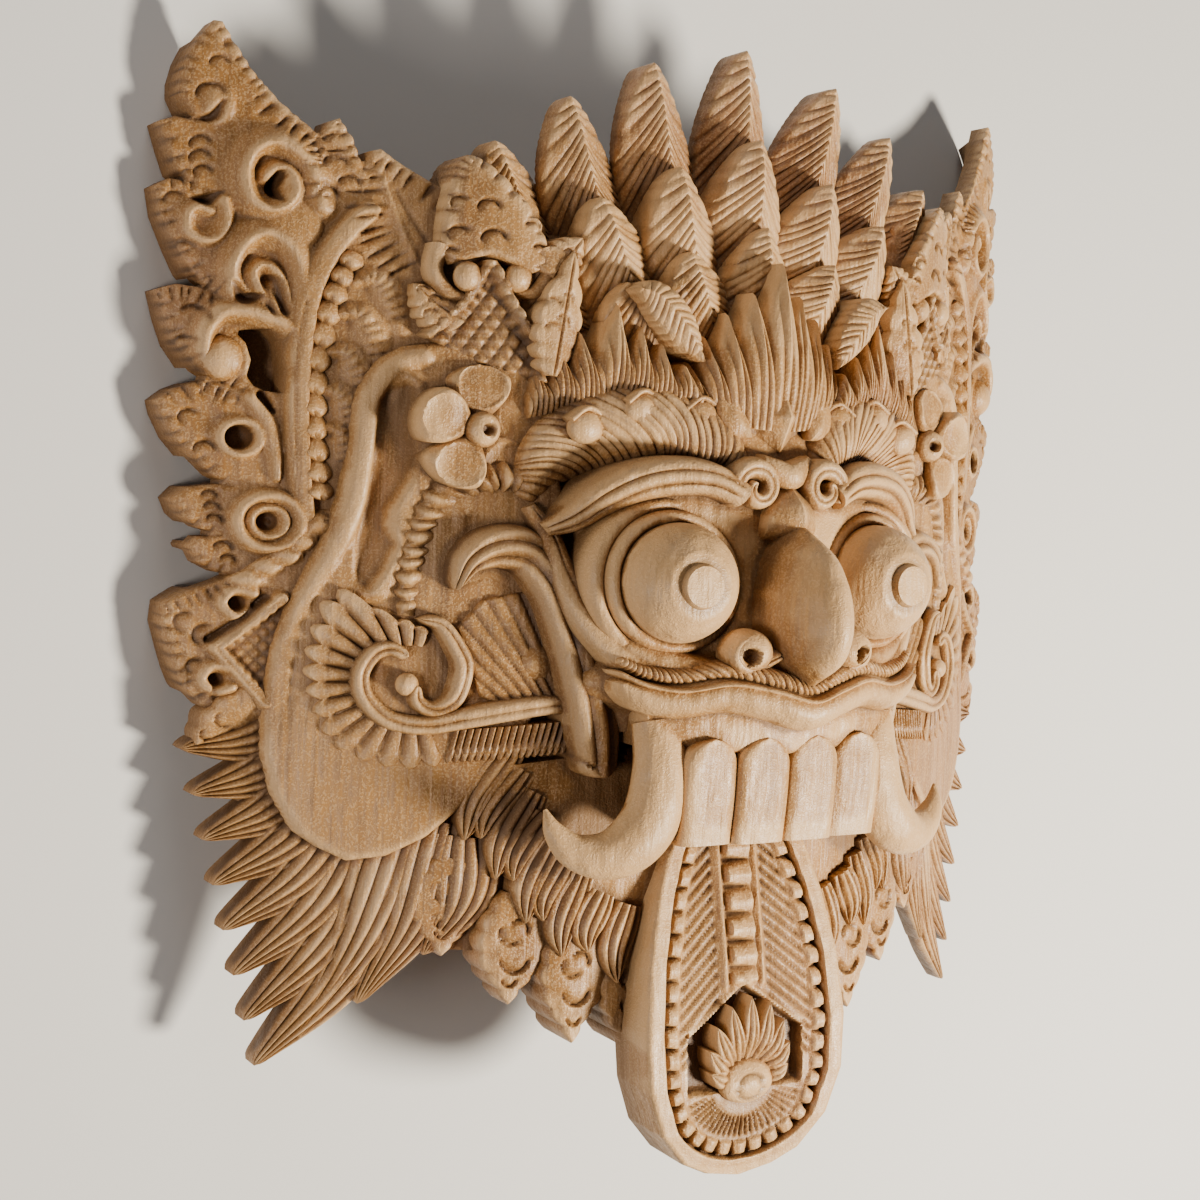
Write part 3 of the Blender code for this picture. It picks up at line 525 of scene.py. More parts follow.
crest = {
    'rows': [
        [((0, 150, 104), (0, 200, 110), (0, 245, 119)),
         ((-26, 150, 104), (-39, 196, 110), (-47, 234, 120)),
         ((-54, 140, 101), (-72, 182, 104), (-83, 217, 113)),
         ((-80, 130, 93), (-99, 167, 95), (-112, 197, 102))],
        [((0, 140, 118), (0, 176, 125), (0, 205, 132)),
         ((-22, 132, 117), (-33, 162, 124), (-39, 190, 131)),
         ((-48, 124, 112), (-63, 152, 118), (-73, 175, 124)),
         ((-74, 116, 106), (-90, 136, 109), (-98, 152, 112))],
        [((0, 120, 131), (0, 146, 136), (0, 167, 140)),
         ((-22, 118, 130), (-31, 138, 134), (-37, 154, 138)),
         ((-46, 112, 124), (-57, 128, 127), (-63, 140, 131))],
    ],
    'widths': [(20, 21.5, 21.5, 20.5, 19, 16.5, 13, 8.5, 3), (20, 21, 20.5, 19, 16.5, 13, 8.5, 3),
               (18, 18, 17, 15, 12, 7.5, 3)],
    'rise': [(8, 12, 14, 14, 12, 8, 2), (7, 11, 12, 11, 8, 2), (6, 9, 10, 9, 6, 2)],
    'grooves': [23, 16, 13],
    'grooveDepth': (1.6, 1.5, 1.4),
    'slant': (-1.9, -1.3, -1.0),
}


def makeCrest():
    part = Region('mask_crest')
    for row, feathers in enumerate(crest['rows']):
        slant = crest['slant'][row]
        for place, spine in enumerate(feathers):
            part.strip(spine, crest['widths'][row], rise=crest['rise'][row], power=1.25, taper=0.0,
                       lanes=20, ribs=crest['grooves'][row] - place, ribDepth=crest['grooveDepth'][row],
                       ribSharp=1.7, shear=(slant, slant), edge=1.5, notches=crest['grooves'][row] - place,
                       notchDepth=0.4, back=0.3 * place if row == 0 else None, bury=26, middle=place == 0)
    return part


# Flame leaves over the forehead

hairline = {
    'centreFoot': [(-34, 88, 140), (-20, 82, 150), (0, 80, 154), (20, 82, 150), (34, 88, 140)],
    'centreTips': [(-42, 96), (-38, 108), (-35, 101), (-32, 119), (-28, 109), (-23, 129), (-19, 117),
                   (-12, 138), (-8, 126), (0, 151)],
    'sideFoot': [(-100, 82), (-84, 87), (-68, 91), (-52, 91), (-36, 88)],
    'sideTips': [(-101, 90), (-98, 104), (-94, 98), (-89, 113), (-85, 103), (-81, 119), (-77, 107),
                 (-67, 131), (-63, 110), (-58, 122), (-55, 106), (-50, 115), (-46, 100), (-41, 107),
                 (-33, 93)],
    'sideLevel': 165.0,
    'twist': [(-64, 137, 140), (-55, 134, 143), (-45, 124, 146), (-34, 108, 147)],
}


def makeHairline(part):
    part.strip(hairline['twist'], (1, 6, 8, 7, 1.5), rise=5.0, power=1.2, lanes=12, ribs=13, ribDepth=1.5,
               ribSharp=1.5, shear=(0.8, 0.8), edge=1.4, bury=22)
    foot = [(x, y, hairline['sideLevel'] + 0.5 * x) for x, y in hairline['sideFoot']]
    tips = [(x, y, hairline['sideLevel'] - 2 + 0.5 * x) for x, y in hairline['sideTips']]
    part.spread(foot, tips, flutes=34, rows=22, ragged=True, arch=4.5, rise=3.0, power=4.0, taper=0.0,
                fluteDepth=1.1, fluteSharp=1.2, edge=1.8, bury=22)
    tips = [(x, y, 151 - 0.3 * abs(x)) for x, y in hairline['centreTips']]
    part.spread(hairline['centreFoot'], bothHalves(tips), flutes=27, rows=34, ragged=True, arch=5.5,
                rise=4.0, power=2.5, taper=0.0, fluteDepth=1.2, fluteSharp=1.2, edge=1.8, bury=24,
                middle=True)


# Fretted wings

wing = {
    'outline': [(-190, 12), (-197, 12), (-206, 13), (-213, 17), (-216, 24), (-213, 28), (-204, 29),
                (-213, 32), (-219, 37), (-222, 44), (-217, 49), (-206, 51), (-200, 50), (-208, 54),
                (-215, 62), (-222, 70), (-227, 80), (-228.5, 86), (-222, 91), (-212, 95), (-207, 94),
                (-214, 99), (-222, 110), (-226, 121), (-229, 133), (-222, 135.5), (-213, 134),
                (-207, 130), (-217, 141), (-222, 151), (-228, 165), (-230, 177), (-225, 180), (-216, 178),
                (-222, 183), (-226, 194), (-229, 204), (-223, 206), (-215.5, 204), (-219, 211),
                (-221.5, 216), (-221.5, 222), (-219, 231), (-215, 239), (-210, 246), (-207, 245.5),
                (-202, 236), (-196, 225), (-187, 213), (-178, 204), (-172, 198), (-170, 204),
                (-165.5, 205.5), (-161, 198), (-156.5, 184), (-155, 192), (-151, 193), (-144, 187),
                (-134, 180), (-120, 171), (-110, 163), (-106, 150), (-112, 130), (-126, 114), (-142, 102),
                (-150, 84), (-156, 60), (-161, 45), (-168, 30), (-178, 20)],
    'lift': 3.0,
    'hole': [(-201, 116), (-195, 117), (-189, 117), (-185, 112), (-183.5, 100), (-184, 90), (-190, 91),
             (-194, 93), (-196.5, 97), (-195, 104), (-197, 111)],
    'rib': [(-156, 167), (-166, 155), (-172.5, 143), (-176.5, 130), (-178.5, 114), (-179.5, 96),
            (-179.5, 80), (-178.5, 62), (-177, 48), (-175, 34)],
    'scales': [(-159, 149), (-164, 138), (-168, 125), (-171, 109), (-172.5, 92), (-172, 76), (-171, 60),
               (-169.5, 45)],
    'scaleCount': 12,
    'cell': 0.85,  # fineness of the surface
    'upperRim': [(-173, 168), (-177, 184), (-183, 192), (-190, 195), (-197, 191), (-200, 182), (-198, 172),
                 (-192, 167), (-186, 168), (-182, 174), (-183, 181), (-188, 185), (-192, 182)],
    'upperEye': [(-187, 181), (-189, 176), (-186, 171)],
    'lowerRim': [(-180, 118), (-179, 134), (-181, 146), (-186, 154), (-193, 157), (-200, 152), (-204, 142),
                 (-202, 132), (-197, 127)],
    'lowerTongue': [(-184, 115), (-189, 127), (-195, 136), (-196, 141), (-193, 144), (-189, 142),
                    (-185, 135), (-182, 122)],
    'lowerEye': [(-203, 136), (-199, 130), (-193, 131)],
    'curl': [(-206, 171), (-205, 162), (-208, 155), (-214, 154), (-219, 158), (-219, 165), (-215, 168),
             (-211, 166)],
    'hook': [(-181, 117), (-190, 121.5), (-200, 124.5), (-208, 123), (-213, 115), (-213, 105), (-210, 97)],
    'ball': (-204, 104.5, 33),
    'ballRadii': (10.2, 10.4, 10.0),
    'ringEye': (-199, 71),
    'lowScroll': (-189, 35.5),
    'crescents': [  # place, radius, heading
        (-214, 194, 4.2, 100), (-214, 188, 4.2, 100), (-213, 182, 3.6, 100), (-223, 171, 3.6, 120),
        (-219, 150, 3.8, 110), (-211, 215, 5.0, 100), (-208, 228, 3.4, 95), (-204, 236, 2.6, 95),
        (-216, 122, 4.8, 60), (-219, 110, 3.6, 110), (-217, 79, 3.6, 130), (-211, 65, 4.2, 100),
        (-209, 45, 3.2, 80), (-208, 40, 3.2, 80), (-207, 35, 3.0, 80), (-204, 23, 3.6, 80),
        (-202, 18, 3.0, 80), (-167, 186, 4.6, 95), (-170, 173, 4.6, 95), (-162, 178, 4.0, 80)],
    'combs': [  # path along an edge, cuts, nearest and farthest reach, depth
        ([(-222, 216), (-221, 226), (-216, 237), (-210, 245)], 6, 0.0, 4.5, 2.4),
        ([(-207, 243), (-201, 233), (-196, 225), (-192, 219)], 5, 0.0, 5.0, 2.4),
        ([(-191, 217), (-184, 208), (-177, 202), (-172, 195), (-171, 188)], 7, 1.2, 10.0, 3.6),
        ([(-229, 202), (-225, 192), (-220, 182)], 3, 0.0, 5.0, 2.4),
        ([(-230, 175), (-227, 164), (-221, 150), (-213, 137)], 7, 0.0, 5.0, 2.4),
        ([(-228, 180), (-220, 180), (-212, 178)], 4, 0.8, 6.0, 2.4),
        ([(-229, 131), (-226, 121), (-221, 108), (-213, 98)], 6, 0.0, 5.0, 2.4),
        ([(-228, 134), (-218, 135), (-208, 131)], 5, 0.8, 8.0, 3.0),
        ([(-228, 84), (-223, 72), (-214, 61), (-204, 52)], 6, 0.0, 4.5, 2.2),
        ([(-225, 90), (-214, 95), (-206, 93), (-198, 89)], 6, 0.8, 8.0, 3.2),
        ([(-222, 42), (-217, 36), (-208, 30)], 3, 0.0, 4.0, 2.0),
        ([(-216, 22), (-212, 17), (-204, 13)], 3, 0.0, 4.0, 2.0),
        ([(-165, 204), (-160, 195), (-157, 184)], 4, 0.0, 5.0, 2.8),
        ([(-172, 197), (-175, 188), (-173, 172)], 5, 0.5, 5.0, 2.4),
        ([(-150, 191), (-140, 184), (-125, 174), (-112, 164)], 8, 1.0, 10.0, 3.6),
        ([(-157, 181), (-156, 166), (-152, 154), (-144, 142)], 8, 0.0, 7.5, 3.4)],
    'veins': [[(-150, 184), (-146, 170), (-137, 146)], [(-146, 176), (-140, 164), (-132, 150)]],
    'ferns': [[(-160, 137), (-153, 139), (-147, 131), (-143, 118)],
              [(-165, 124), (-158, 124), (-153, 115), (-150, 103)],
              [(-168, 108), (-162, 107), (-157, 97), (-155, 86)],
              [(-169, 92), (-164, 90), (-160, 80), (-158, 70)],
              [(-168, 76), (-164, 74), (-161, 65), (-160, 56)]],
}


def makeWings():
    part = Region('mask_wings')
    ringX, ringY = wing['ringEye']
    lowX, lowY = wing['lowScroll']

    def ring(centre, radius, half, height):
        def shape(x, y):
            far = np.abs(np.hypot(x - centre[0], y - centre[1]) - radius)
            return height * np.clip(1 - (far / half) ** 2, 0, 1)
        return shape

    raised = [
        stroke(wing['upperRim'], 5.2, (6.0, 8.0, 8.5, 8.0, 7.0, 5.5), right=(7.5, 8.0, 7.5, 6.0, 4.5, 3.0),
               power=1.2),
        stroke(wing['lowerRim'], 5.5, (5.0, 7.5, 8.5, 8.0, 6.0), right=(7.5, 9.5, 8.5, 6.0, 5.5),
               power=1.2),
        stroke(wing['lowerTongue'], (2.6, 3.4, 3.0, 2.6), (5.0, 6.5, 6.5, 5.0), power=1.2),
        stroke(wing['curl'], 3.2, (4.5, 5.0, 4.5, 3.8), right=(5.0, 4.5, 3.8, 3.0), power=1.2),
        stroke(wing['hook'], (5.0, 5.4, 5.6, 5.0, 3.0), (6.0, 8.0, 9.0, 8.5, 4.0), power=1.8),
        stroke(wing['rib'], (4.6, 4.8, 4.8, 4.6, 3.6), (6.5, 7.0, 7.0, 6.5, 5.0), power=5.0),
        stroke([(-201, 179), (-199, 173), (-194, 170)], 3.0, 3.0),
        dome((-184, 160), (13, 12), 5.5), dome((-208, 211), (6, 9), 2.5),
        ring((ringX, ringY), 7.2, 2.2, 3.4), ring((lowX, lowY), 11.3, 3.4, 6.5),
        ring((lowX, lowY), 6.4, 2.2, 5.0),
        dome((lowX, lowY), (10, 10), 2.5), dome((lowX + 1, lowY - 1), (2.4, 2.4), 4.0),
        stroke([(-196, 88), (-190, 78), (-187, 66), (-186, 54)], (3.0, 4.0, 3.6, 2.0), 3.6),
        stroke([(-151, 184), (-146, 168), (-137, 145)], (2.2, 2.2, 1.6), 1.6)]
    raised += [stroke(path, (2.5, 5.5, 6.5, 4.0), (3.5, 4.5, 4.0, 1.0), power=1.6)
               for path in wing['ferns']]
    cuts = crescents(wing['crescents'], 2.8)
    cuts += [comb(path, count, low, high, depth) for path, count, low, high, depth in wing['combs']]
    cuts += [stroke(path, 1.1, 1.6, power=1.0) for path in wing['veins']]
    cuts += [stroke(wing['upperEye'], (2.4, 2.8, 1.2), (9.0, 8.0, 3.0)),
             stroke(wing['lowerEye'], (1.6, 3.2, 1.6), (3.0, 8.0, 3.0)),
             stroke([(-189, 124), (-192, 137), (-187, 137), (-184, 124)], 1.8, 2.6),
             stroke([(-217, 172), (-212, 171), (-207, 174)], (1.2, 2.8, 1.2), (2.0, 6.0, 3.0)),
             stroke([(-215, 205), (-210, 206), (-207, 212)], (1.2, 2.6, 1.2), (2.0, 5.0, 2.0)),
             drill((ringX, ringY), 5.0, 8.0), drill((lowX, lowY), 3.8, 6.0),
             stroke([(-178, 129), (-180.5, 112), (-181.3, 90), (-180.5, 66), (-178.5, 44)], 0.9, 1.3,
                    power=1.0),
             stroke([(-191, 89), (-187, 82)], (2.6, 1.0), 5.0), comb(wing['ferns'][0], 9, 0.0, 4.5, 1.8)]
    cuts += [comb(path, 8, 0.0, 4.5, 1.8) for path in wing['ferns'][1:]]
    part.canvas(wing['outline'], lift=wing['lift'], gone=[wing['hole']], cell=wing['cell'], raised=raised,
                cuts=cuts, edge=1.6, back=0.5)
    part.ball(wing['ball'], wing['ballRadii'], 32, 22)
    path = onLog(wing['scales'], 4.5)
    total = wing['scaleCount']
    for count in range(total):
        foot, end = smoothCurve(path, np.array([count / total, (count + 1.15) / total]))
        heading = math.degrees(math.atan2(end[1] - foot[1], end[0] - foot[0]))
        places = [tuple(foot - (0, 0, 3.0)), tuple((foot + end) / 2), tuple(end + (0, 0, 1.5))]
        part.strip(places, (4.5, 6.0, 6.0, 3.0), rise=3.6, power=2.2, lanes=14, rows=14, edge=1.0, bury=10,
                   cuts=[crescent((end[0] + 1.5, end[1] + 3.0), 3.6, heading, 2.0)])
        part.strip([(foot[0] + 5, foot[1] - 2, foot[2] - 2), (foot[0] + 7, foot[1] - 9, foot[2] + 0.5)],
                   (2.6, 4.2, 4.0, 1.8), rise=2.4, power=2.0, lanes=10, rows=10, edge=0.8, bury=9,
                   cuts=[crescent((foot[0] + 6.5, foot[1] - 5.5), 2.6, heading, 1.2)])
    makeCrownOrnament(part)
    makeSideOrnament(part)
    return part


crown = {
    'leaf': [(-133, 150), (-132.5, 162), (-131, 173), (-129, 182), (-127, 187), (-124, 190),
             (-121, 189.5), (-117, 187), (-111, 181), (-103, 171), (-97, 162), (-94, 152), (-95, 144),
             (-100, 142), (-108, 146), (-116, 149), (-124, 147), (-129, 145)],
    'lift': 10.0,
    'hooks': [[(-131, 153), (-133.5, 143), (-129, 134), (-121, 131.5)],
              [(-95, 153), (-92.5, 144), (-97, 135), (-105, 133.5)]],
    'beads': ((-123, 140, 103), (-104, 140, 112)),
    'beadRadii': (6.2, 6.4, 6.0),
    'panel': [(-94, 97), (-97, 113), (-106, 131), (-113, 147), (-117, 147), (-125, 130), (-138, 116),
              (-118, 105)],
    'crescents': [(-117, 168, 4.0, 95), (-115, 155, 4.6, 95), (-127, 157, 3.6, 120), (-101, 160, 3.4, 60),
                  (-107, 173, 2.8, 50), (-127, 170, 2.8, 130), (-98, 151, 3.0, 60), (-130, 149, 2.8, 120)],
    'leaves': [  # spine, half widths, height over the log, crescents
        (((-124, 122), (-133, 128), (-141, 137)), (6, 9, 9, 6, 1.2), 9.0,
         ((-134, 130, 2.6, 100), (-138, 134, 2.2, 110), (-136, 124, 2.6, 120))),
        (((-93, 100), (-90, 120), (-85, 152)), (5, 9, 11, 8, 1.2), 13.0,
         ((-94, 129, 3.2, 90), (-90, 122, 3.2, 60), (-94, 119, 3.2, 80), (-88, 132, 2.6, 60))),
        (((-92, 140), (-86, 150), (-80, 158)), (8, 9, 7, 1.2), 9.0, ((-86, 150, 3.0, 60),)),
        (((-97, 148), (-103, 172), (-110, 197)), (11, 12, 10, 6, 1.2), 0.0, ())],
}


def makeCrownOrnament(part):
    def lattice(x, y):
        return 2.4 * np.maximum(valleys((x + 0.95 * y) / 6.5, 1.2), valleys((x - 0.65 * y) / 6.5, 1.2))

    part.canvas(crown['panel'], lift=10.0, cell=0.8, edge=1.0, bury=18, cuts=[lattice],
                raised=[stroke([(-115, 147), (-125, 129), (-137, 116)], 2.6, 4.6, power=4.0),
                        stroke([(-115, 147), (-106, 130), (-97, 113), (-95, 98)], 3.2, 5.2, power=4.0)])
    for spine, widths, lift, marks in crown['leaves']:
        part.strip(spine, widths, lift=lift, rise=4.0, power=1.4, lanes=26, rows=48, notches=6,
                   notchDepth=1.6, edge=1.0,
                   cuts=crescents(marks, 1.5) + [stroke(spine, 1.0, 1.4, power=1.0)], bury=18)
    for (x, y, z) in crown['beads']:
        part.ball((x, y, z), crown['beadRadii'], 26, 16)
    cuts = crescents(crown['crescents'], 3.2)
    cuts += [comb(path, 7, 0.0, 5.0, 3.0) for path in (crown['leaf'][:6], crown['leaf'][6:13])]
    part.canvas(crown['leaf'], lift=crown['lift'], cell=0.7, cuts=cuts, edge=2.0, bury=22,
                raised=[dome((-114, 162), (24, 34), 5.0),
                        stroke([(-124, 187), (-117, 168), (-114, 150)], 9.0, 3.0)])
    for hook in crown['hooks']:
        part.strip(hook, (4.5, 3.4, 3.0, 1.5), lift=9.5, rise=3.0, lanes=10, rows=40, edge=1.0, bury=16)


sideLeaves = {
    'outline': [(-186, -48), (-205, -48), (-211, -45), (-217, -38), (-220, -31), (-223, -21), (-226, -10),
                (-225, -1), (-217, 4), (-206, 9), (-198, 14), (-190, 21), (-180, 31), (-171, 42),
                (-158, 42), (-160, 34), (-170, 12), (-176, 0), (-182, -20), (-184, -38)],
    'lift': 4.0,
    'crescents': [(-217, -9, 4.6, 160), (-210, -14, 4.6, 160), (-204, -38, 4.0, 200),
                  (-213, -28, 3.4, 150)],
    'combs': [([(-225, -1), (-214, 5), (-203, 10)], 6, 1.0, 8.0, 2.8),
              ([(-226, -6), (-223, -20), (-218, -34), (-209, -46)], 7, 0.0, 5.5, 2.4)],
    'hooks': [(-199, 0), (-206, -33)],
    'lozenge': [(-184, 3), (-207, -19), (-189, -42)],
    'leafDots': [(-196, 11), (-190, 17), (-183, 22), (-178, 28), (-172, 35)],
}


def makeSideOrnament(part):
    corner = sideLeaves['lozenge']

    def lattice(x, y):
        inside = within(x, y, [corner[0], (corner[1][0] + 3, corner[1][1]), corner[2], (-160, -20)])
        return 1.7 * inside * np.maximum(valleys((x + y) / 6.0, 1.2), valleys((x - y) / 6.0, 1.2))

    cuts = crescents(sideLeaves['crescents'], 2.6)
    cuts += [comb(*row) for row in sideLeaves['combs']]
    cuts += [drill(sideLeaves['hooks'][0], 3.2, 6.0), drill(sideLeaves['hooks'][1], 2.8, 5.0), lattice,
             stroke(corner[:2], 0.8, 1.6, power=1.0), stroke(corner[1:], 0.8, 1.6, power=1.0),
             stroke([(-209, -16), (-200, -9), (-189, 3)], 2.0, 4.0)]
    cuts += [crescent((x + 2.5, y - 1.0), 3.0, 20, 1.6) for x, y in sideLeaves['leafDots']]
    raised = [stroke(corner[:2], 3.2, 4.6, power=4.0), stroke(corner[1:], 3.2, 4.6, power=4.0)]
    raised += [dome((x, y), (7.0, 5.0), 5.5) for x, y in sideLeaves['leafDots']]
    for x, y in sideLeaves['hooks']:
        raised.append(stroke([(x + 5, y + 5), (x - 2, y + 6), (x - 6, y), (x - 1, y - 5), (x + 5, y - 3)],
                             2.8, 4.0))
    part.canvas(sideLeaves['outline'], lift=sideLeaves['lift'], cell=0.85, cuts=cuts,
                raised=raised, edge=1.6, back=1.0)
    part.strip(((-188, -40), (-203, -50), (-213, -62)), (9, 9, 7, 1.2), lift=2.5, rise=3.0, lanes=20,
               rows=30, notches=4,
               cuts=[crescent((-203, -50), 3.6, 220), crescent((-209, -57), 2.6, 220)], edge=1.4, back=1.2)


# Ears, cheeks and the strap beside each eye

ear = {
    'outline': [(-160, -108), (-170, -103), (-178, -97), (-184, -86), (-187, -78), (-190, -62), (-190, -48),
                (-189, -32), (-187, -18), (-182, 0), (-175, 18), (-170, 31), (-165, 47), (-163, 60),
                (-161.5, 74), (-161, 86), (-157, 98), (-151, 106), (-143, 111), (-133, 112.5), (-116, 112),
                (-104, 108), (-97, 98), (-90, 82), (-84, 50), (-82, 20), (-84, -10), (-90, -36), (-99, -56),
                (-110, -70), (-121, -84), (-132, -96), (-146, -105)],
    'lift': 8.0,
    'rim': [(-182, -12), (-177, 3), (-170, 18), (-165, 31), (-160.5, 46), (-158.5, 60), (-157, 74),
            (-156.5, 86), (-152.5, 96), (-146, 103), (-137, 106.5)],
    'rimHalf': (2.5, 4.0, 5.6, 5.6, 5.4, 5.2, 4.6),
    'rimHeight': (0.5, 3.0, 4.4, 4.6, 4.4, 4.2, 3.4),
    'recessLow': [(7, -156), (16, -158), (29, -158), (48, -155), (67, -153), (88, -151), (97, -146)],
    'recessHigh': [(7, -155), (17, -149), (28, -145), (36, -148.5), (42, -147.5), (55, -141), (66, -138),
                   (80, -140.5), (89, -139), (97, -141)],
    'recessDepth': 6.5,
    'flower': (-117, 77),
}


def makeEars():
    part = Region('mask_ears')
    lows, highs = np.array(ear['recessLow'], float), np.array(ear['recessHigh'], float)

    def recess(x, y):
        low = np.interp(y, lows[:, 0], lows[:, 1])
        high = np.interp(y, highs[:, 0], highs[:, 1])
        shared = np.clip((x - low) / np.maximum(high - low, 1), 0, 1)
        opened = step(y, 7, 11) * (1 - step(y, 93, 98))
        floor = ear['recessDepth'] * (0.55 + 0.45 * shared)
        return floor * step(x, low - 2.5, low + 2.0) * (1 - step(x, high - 1.0, high + 0.6)) * opened

    outline = np.array(ear['outline'][:19], float)

    def trim(x, y):  # a fine line inside the lobe's edge
        near = x - np.interp(y, outline[:, 1], outline[:, 0])
        line = 1.4 * np.clip(1 - np.abs(near - 8.5) / 1.4, 0, 1)
        return line * (1 - step(y, -30, -10)) * step(y, -70, -40)

    raised = [stroke(ear['rim'], ear['rimHalf'], ear['rimHeight'], power=2.4),
              dome((-150, -70), (42, 44), 2.6), dome((-130, 62), (12, 46), 2.0),
              stroke([(-141, 96), (-136, 80), (-134, 64), (-139, 50)], 6.0, 3.2, right=9.0),
              stroke([(-141, 48), (-143, 34), (-147, 20), (-152, 8)], 5.5, 3.0, right=7.0)]
    part.canvas(ear['outline'], lift=ear['lift'], cell=1.05, raised=raised, sunk=[recess], cuts=[trim],
                edge=2.4, back=2.5)
    fx, fy = ear['flower']
    fz = float(logHeight(fx)) + 10.0
    for petal in range(5):
        angle = math.radians(92 + 72 * petal)
        dx, dy = math.cos(angle), math.sin(angle)
        dish = dome((fx + 18 * dx, fy + 18 * dy), (9.0, 9.0), 2.8)
        part.strip(((fx + 5 * dx, fy + 5 * dy, fz), (fx + 16 * dx, fy + 16 * dy, fz + 3.6),
                    (fx + 27 * dx, fy + 27 * dy, fz - 0.5)),
                   (4.0, 8.5, 11.0, 11.6, 9.8), rise=2.0, power=4.0, taper=0.2, lanes=26, rows=30,
                   sunk=[dish], edge=2.2, point=7.0, hug=0.75, bury=12)
    part.ball((fx, fy, fz + 2.5), (7.6, 7.6, 7.0), 28, 16, cuts=[drill((fx + 0.4, fy), 2.6, 5.0)])
    side = [(-101, 57), (-112, 57), (-124, 52), (-132, 41), (-136, 28), (-139, 14), (-140, -2)]
    part.strip(side, (6.5, 8.0, 9.0, 8.0, 7.5, 6.5, 4.0), lift=8.0, rise=5.0, ribs=15, ribDepth=2.8,
               ribSharp=1.0, notches=15, notchDepth=2.4, lanes=14, edge=1.6, bury=10, shear=(-0.5, 0.3))
    makeCheeks(part)
    return part


cheek = {
    'middle': (-139, -30),
    'rays': 16,
    'rayFrom': 75.0,
    'rayTo': 290.0,
    'reach': (36, 37, 37.5, 38.5, 39.5, 37.5, 37, 38, 39.6, 43, 47, 31, 26, 23),
    'band': [(-76, -38), (-90, -38), (-106, -41), (-122, -45), (-135, -48), (-147, -46), (-155, -38),
             (-157, -28), (-153, -19), (-147, -16), (-141, -19)],
    'hook': [(-138, -3), (-130, -5), (-124, -14), (-121, -23), (-124, -36), (-131, -41), (-137, -38),
             (-138, -31)],
    'strap': [(-126, 10, 102), (-121, 22, 108), (-111, 28, 114), (-99, 26, 120), (-89, 13, 126),
              (-82, -6, 130), (-76, -28, 133), (-72, -49, 134), (-69, -68, 131)],
    'strapWidths': (2.0, 7, 9.5, 10.5, 11, 11.5, 11.5, 11, 8.5),
    'nick': [(-86, -50), (-82, -58), (-74, -63)],
}


def makeCheeks(part):
    mx, my = cheek['middle']
    foot, tip = [], []
    for ray in range(37):
        share = ray / 36
        angle = math.radians(cheek['rayTo'] + (cheek['rayFrom'] - cheek['rayTo']) * share)
        reach = float(along(cheek['reach'], np.array([share]))[0])
        for line, far, lift in ((foot, 15.5, 11.0), (tip, reach, 11.5)):
            x = mx + far * math.cos(angle)
            line.append((x, my + far * math.sin(angle), float(logHeight(x)) + lift))
    part.spread(foot, tip, flutes=cheek['rays'], teeth=cheek['rays'], toothDepth=0.18, rows=30, arch=1.0,
                rise=0, fluteDepth=2.8, fluteSharp=1.7, edge=0.8, bury=12)
    part.strip(cheek['band'], (4.0, 4.5, 5.0, 5.0, 4.6, 4.4, 4.2, 4.0, 3.8, 3.4, 2.6), lift=12.0, rise=3.2,
               power=3.0, flutes=2, rows=90, fluteDepth=1.2, edge=1.4, bury=16)
    part.strip(cheek['hook'], (1.5, 3.4, 4.2, 4.4, 4.2, 3.8, 3.4, 2.6), lift=12.5, rise=3.2, power=3.0,
               flutes=2, rows=60, fluteDepth=1.2, edge=1.2, bury=16)
    part.ball((-141, -31, 91), (5.0, 5.0, 5.0), 20, 12)
    fringeFoot = [(x, -44 - 0.12 * (-77 - x), float(logHeight(x)) + 11.5)
                  for x in np.linspace(-76, -124, 9)]
    fringeTip = [(x - 3, y - 14.5, z - 2.0) for x, y, z in fringeFoot]
    part.spread(fringeFoot, fringeTip, flutes=18, teeth=18, toothDepth=0.25, rows=12, rise=0,
                fluteDepth=2.2, fluteSharp=0.9, edge=0.8, bury=9)

    def fan(x, y, s, t):
        far = np.hypot(x + 66, y + 70)
        swing = np.degrees(np.arctan2(y + 70, x + 66))
        return -1.7 * valleys(swing / 4.2 + far / 90, 1.2)

    part.panel([(-80, 12), (-98, 10), (-114, 6), (-123, -6)],
               [(-78, -36), (-92, -37), (-104, -38), (-114, -36)], lift=10.5, lanes=90, rows=60,
               straight=True, rise=1.5, edge=1.2, relief=fan, bury=14)
    part.ball((-90, -20, 113), (11, 11, 9.5), 30, 18)
    bed = [(-122, 22), (-108, 36), (-86, 30), (-70, 4), (-62, -36), (-61, -66)]
    part.panel([(-122, 10), (-112, 12), (-100, 4), (-92, -12), (-84, -40), (-78, -66)], bed, lift=7.0,
               lanes=24, rows=40, rise=3.0, edge=2.0, bury=16)

    part.strip(cheek['strap'], cheek['strapWidths'], rise=7.0, power=2.4, taper=0.0, flutes=3, rows=130,
               fluteDepth=2.6, fluteSharp=0.9, edge=2.2, cuts=[stroke(cheek['nick'], (0.8, 2.0, 0.8), 3.0)],
               point=5.0, bury=24)


# Beard, jaw and collar

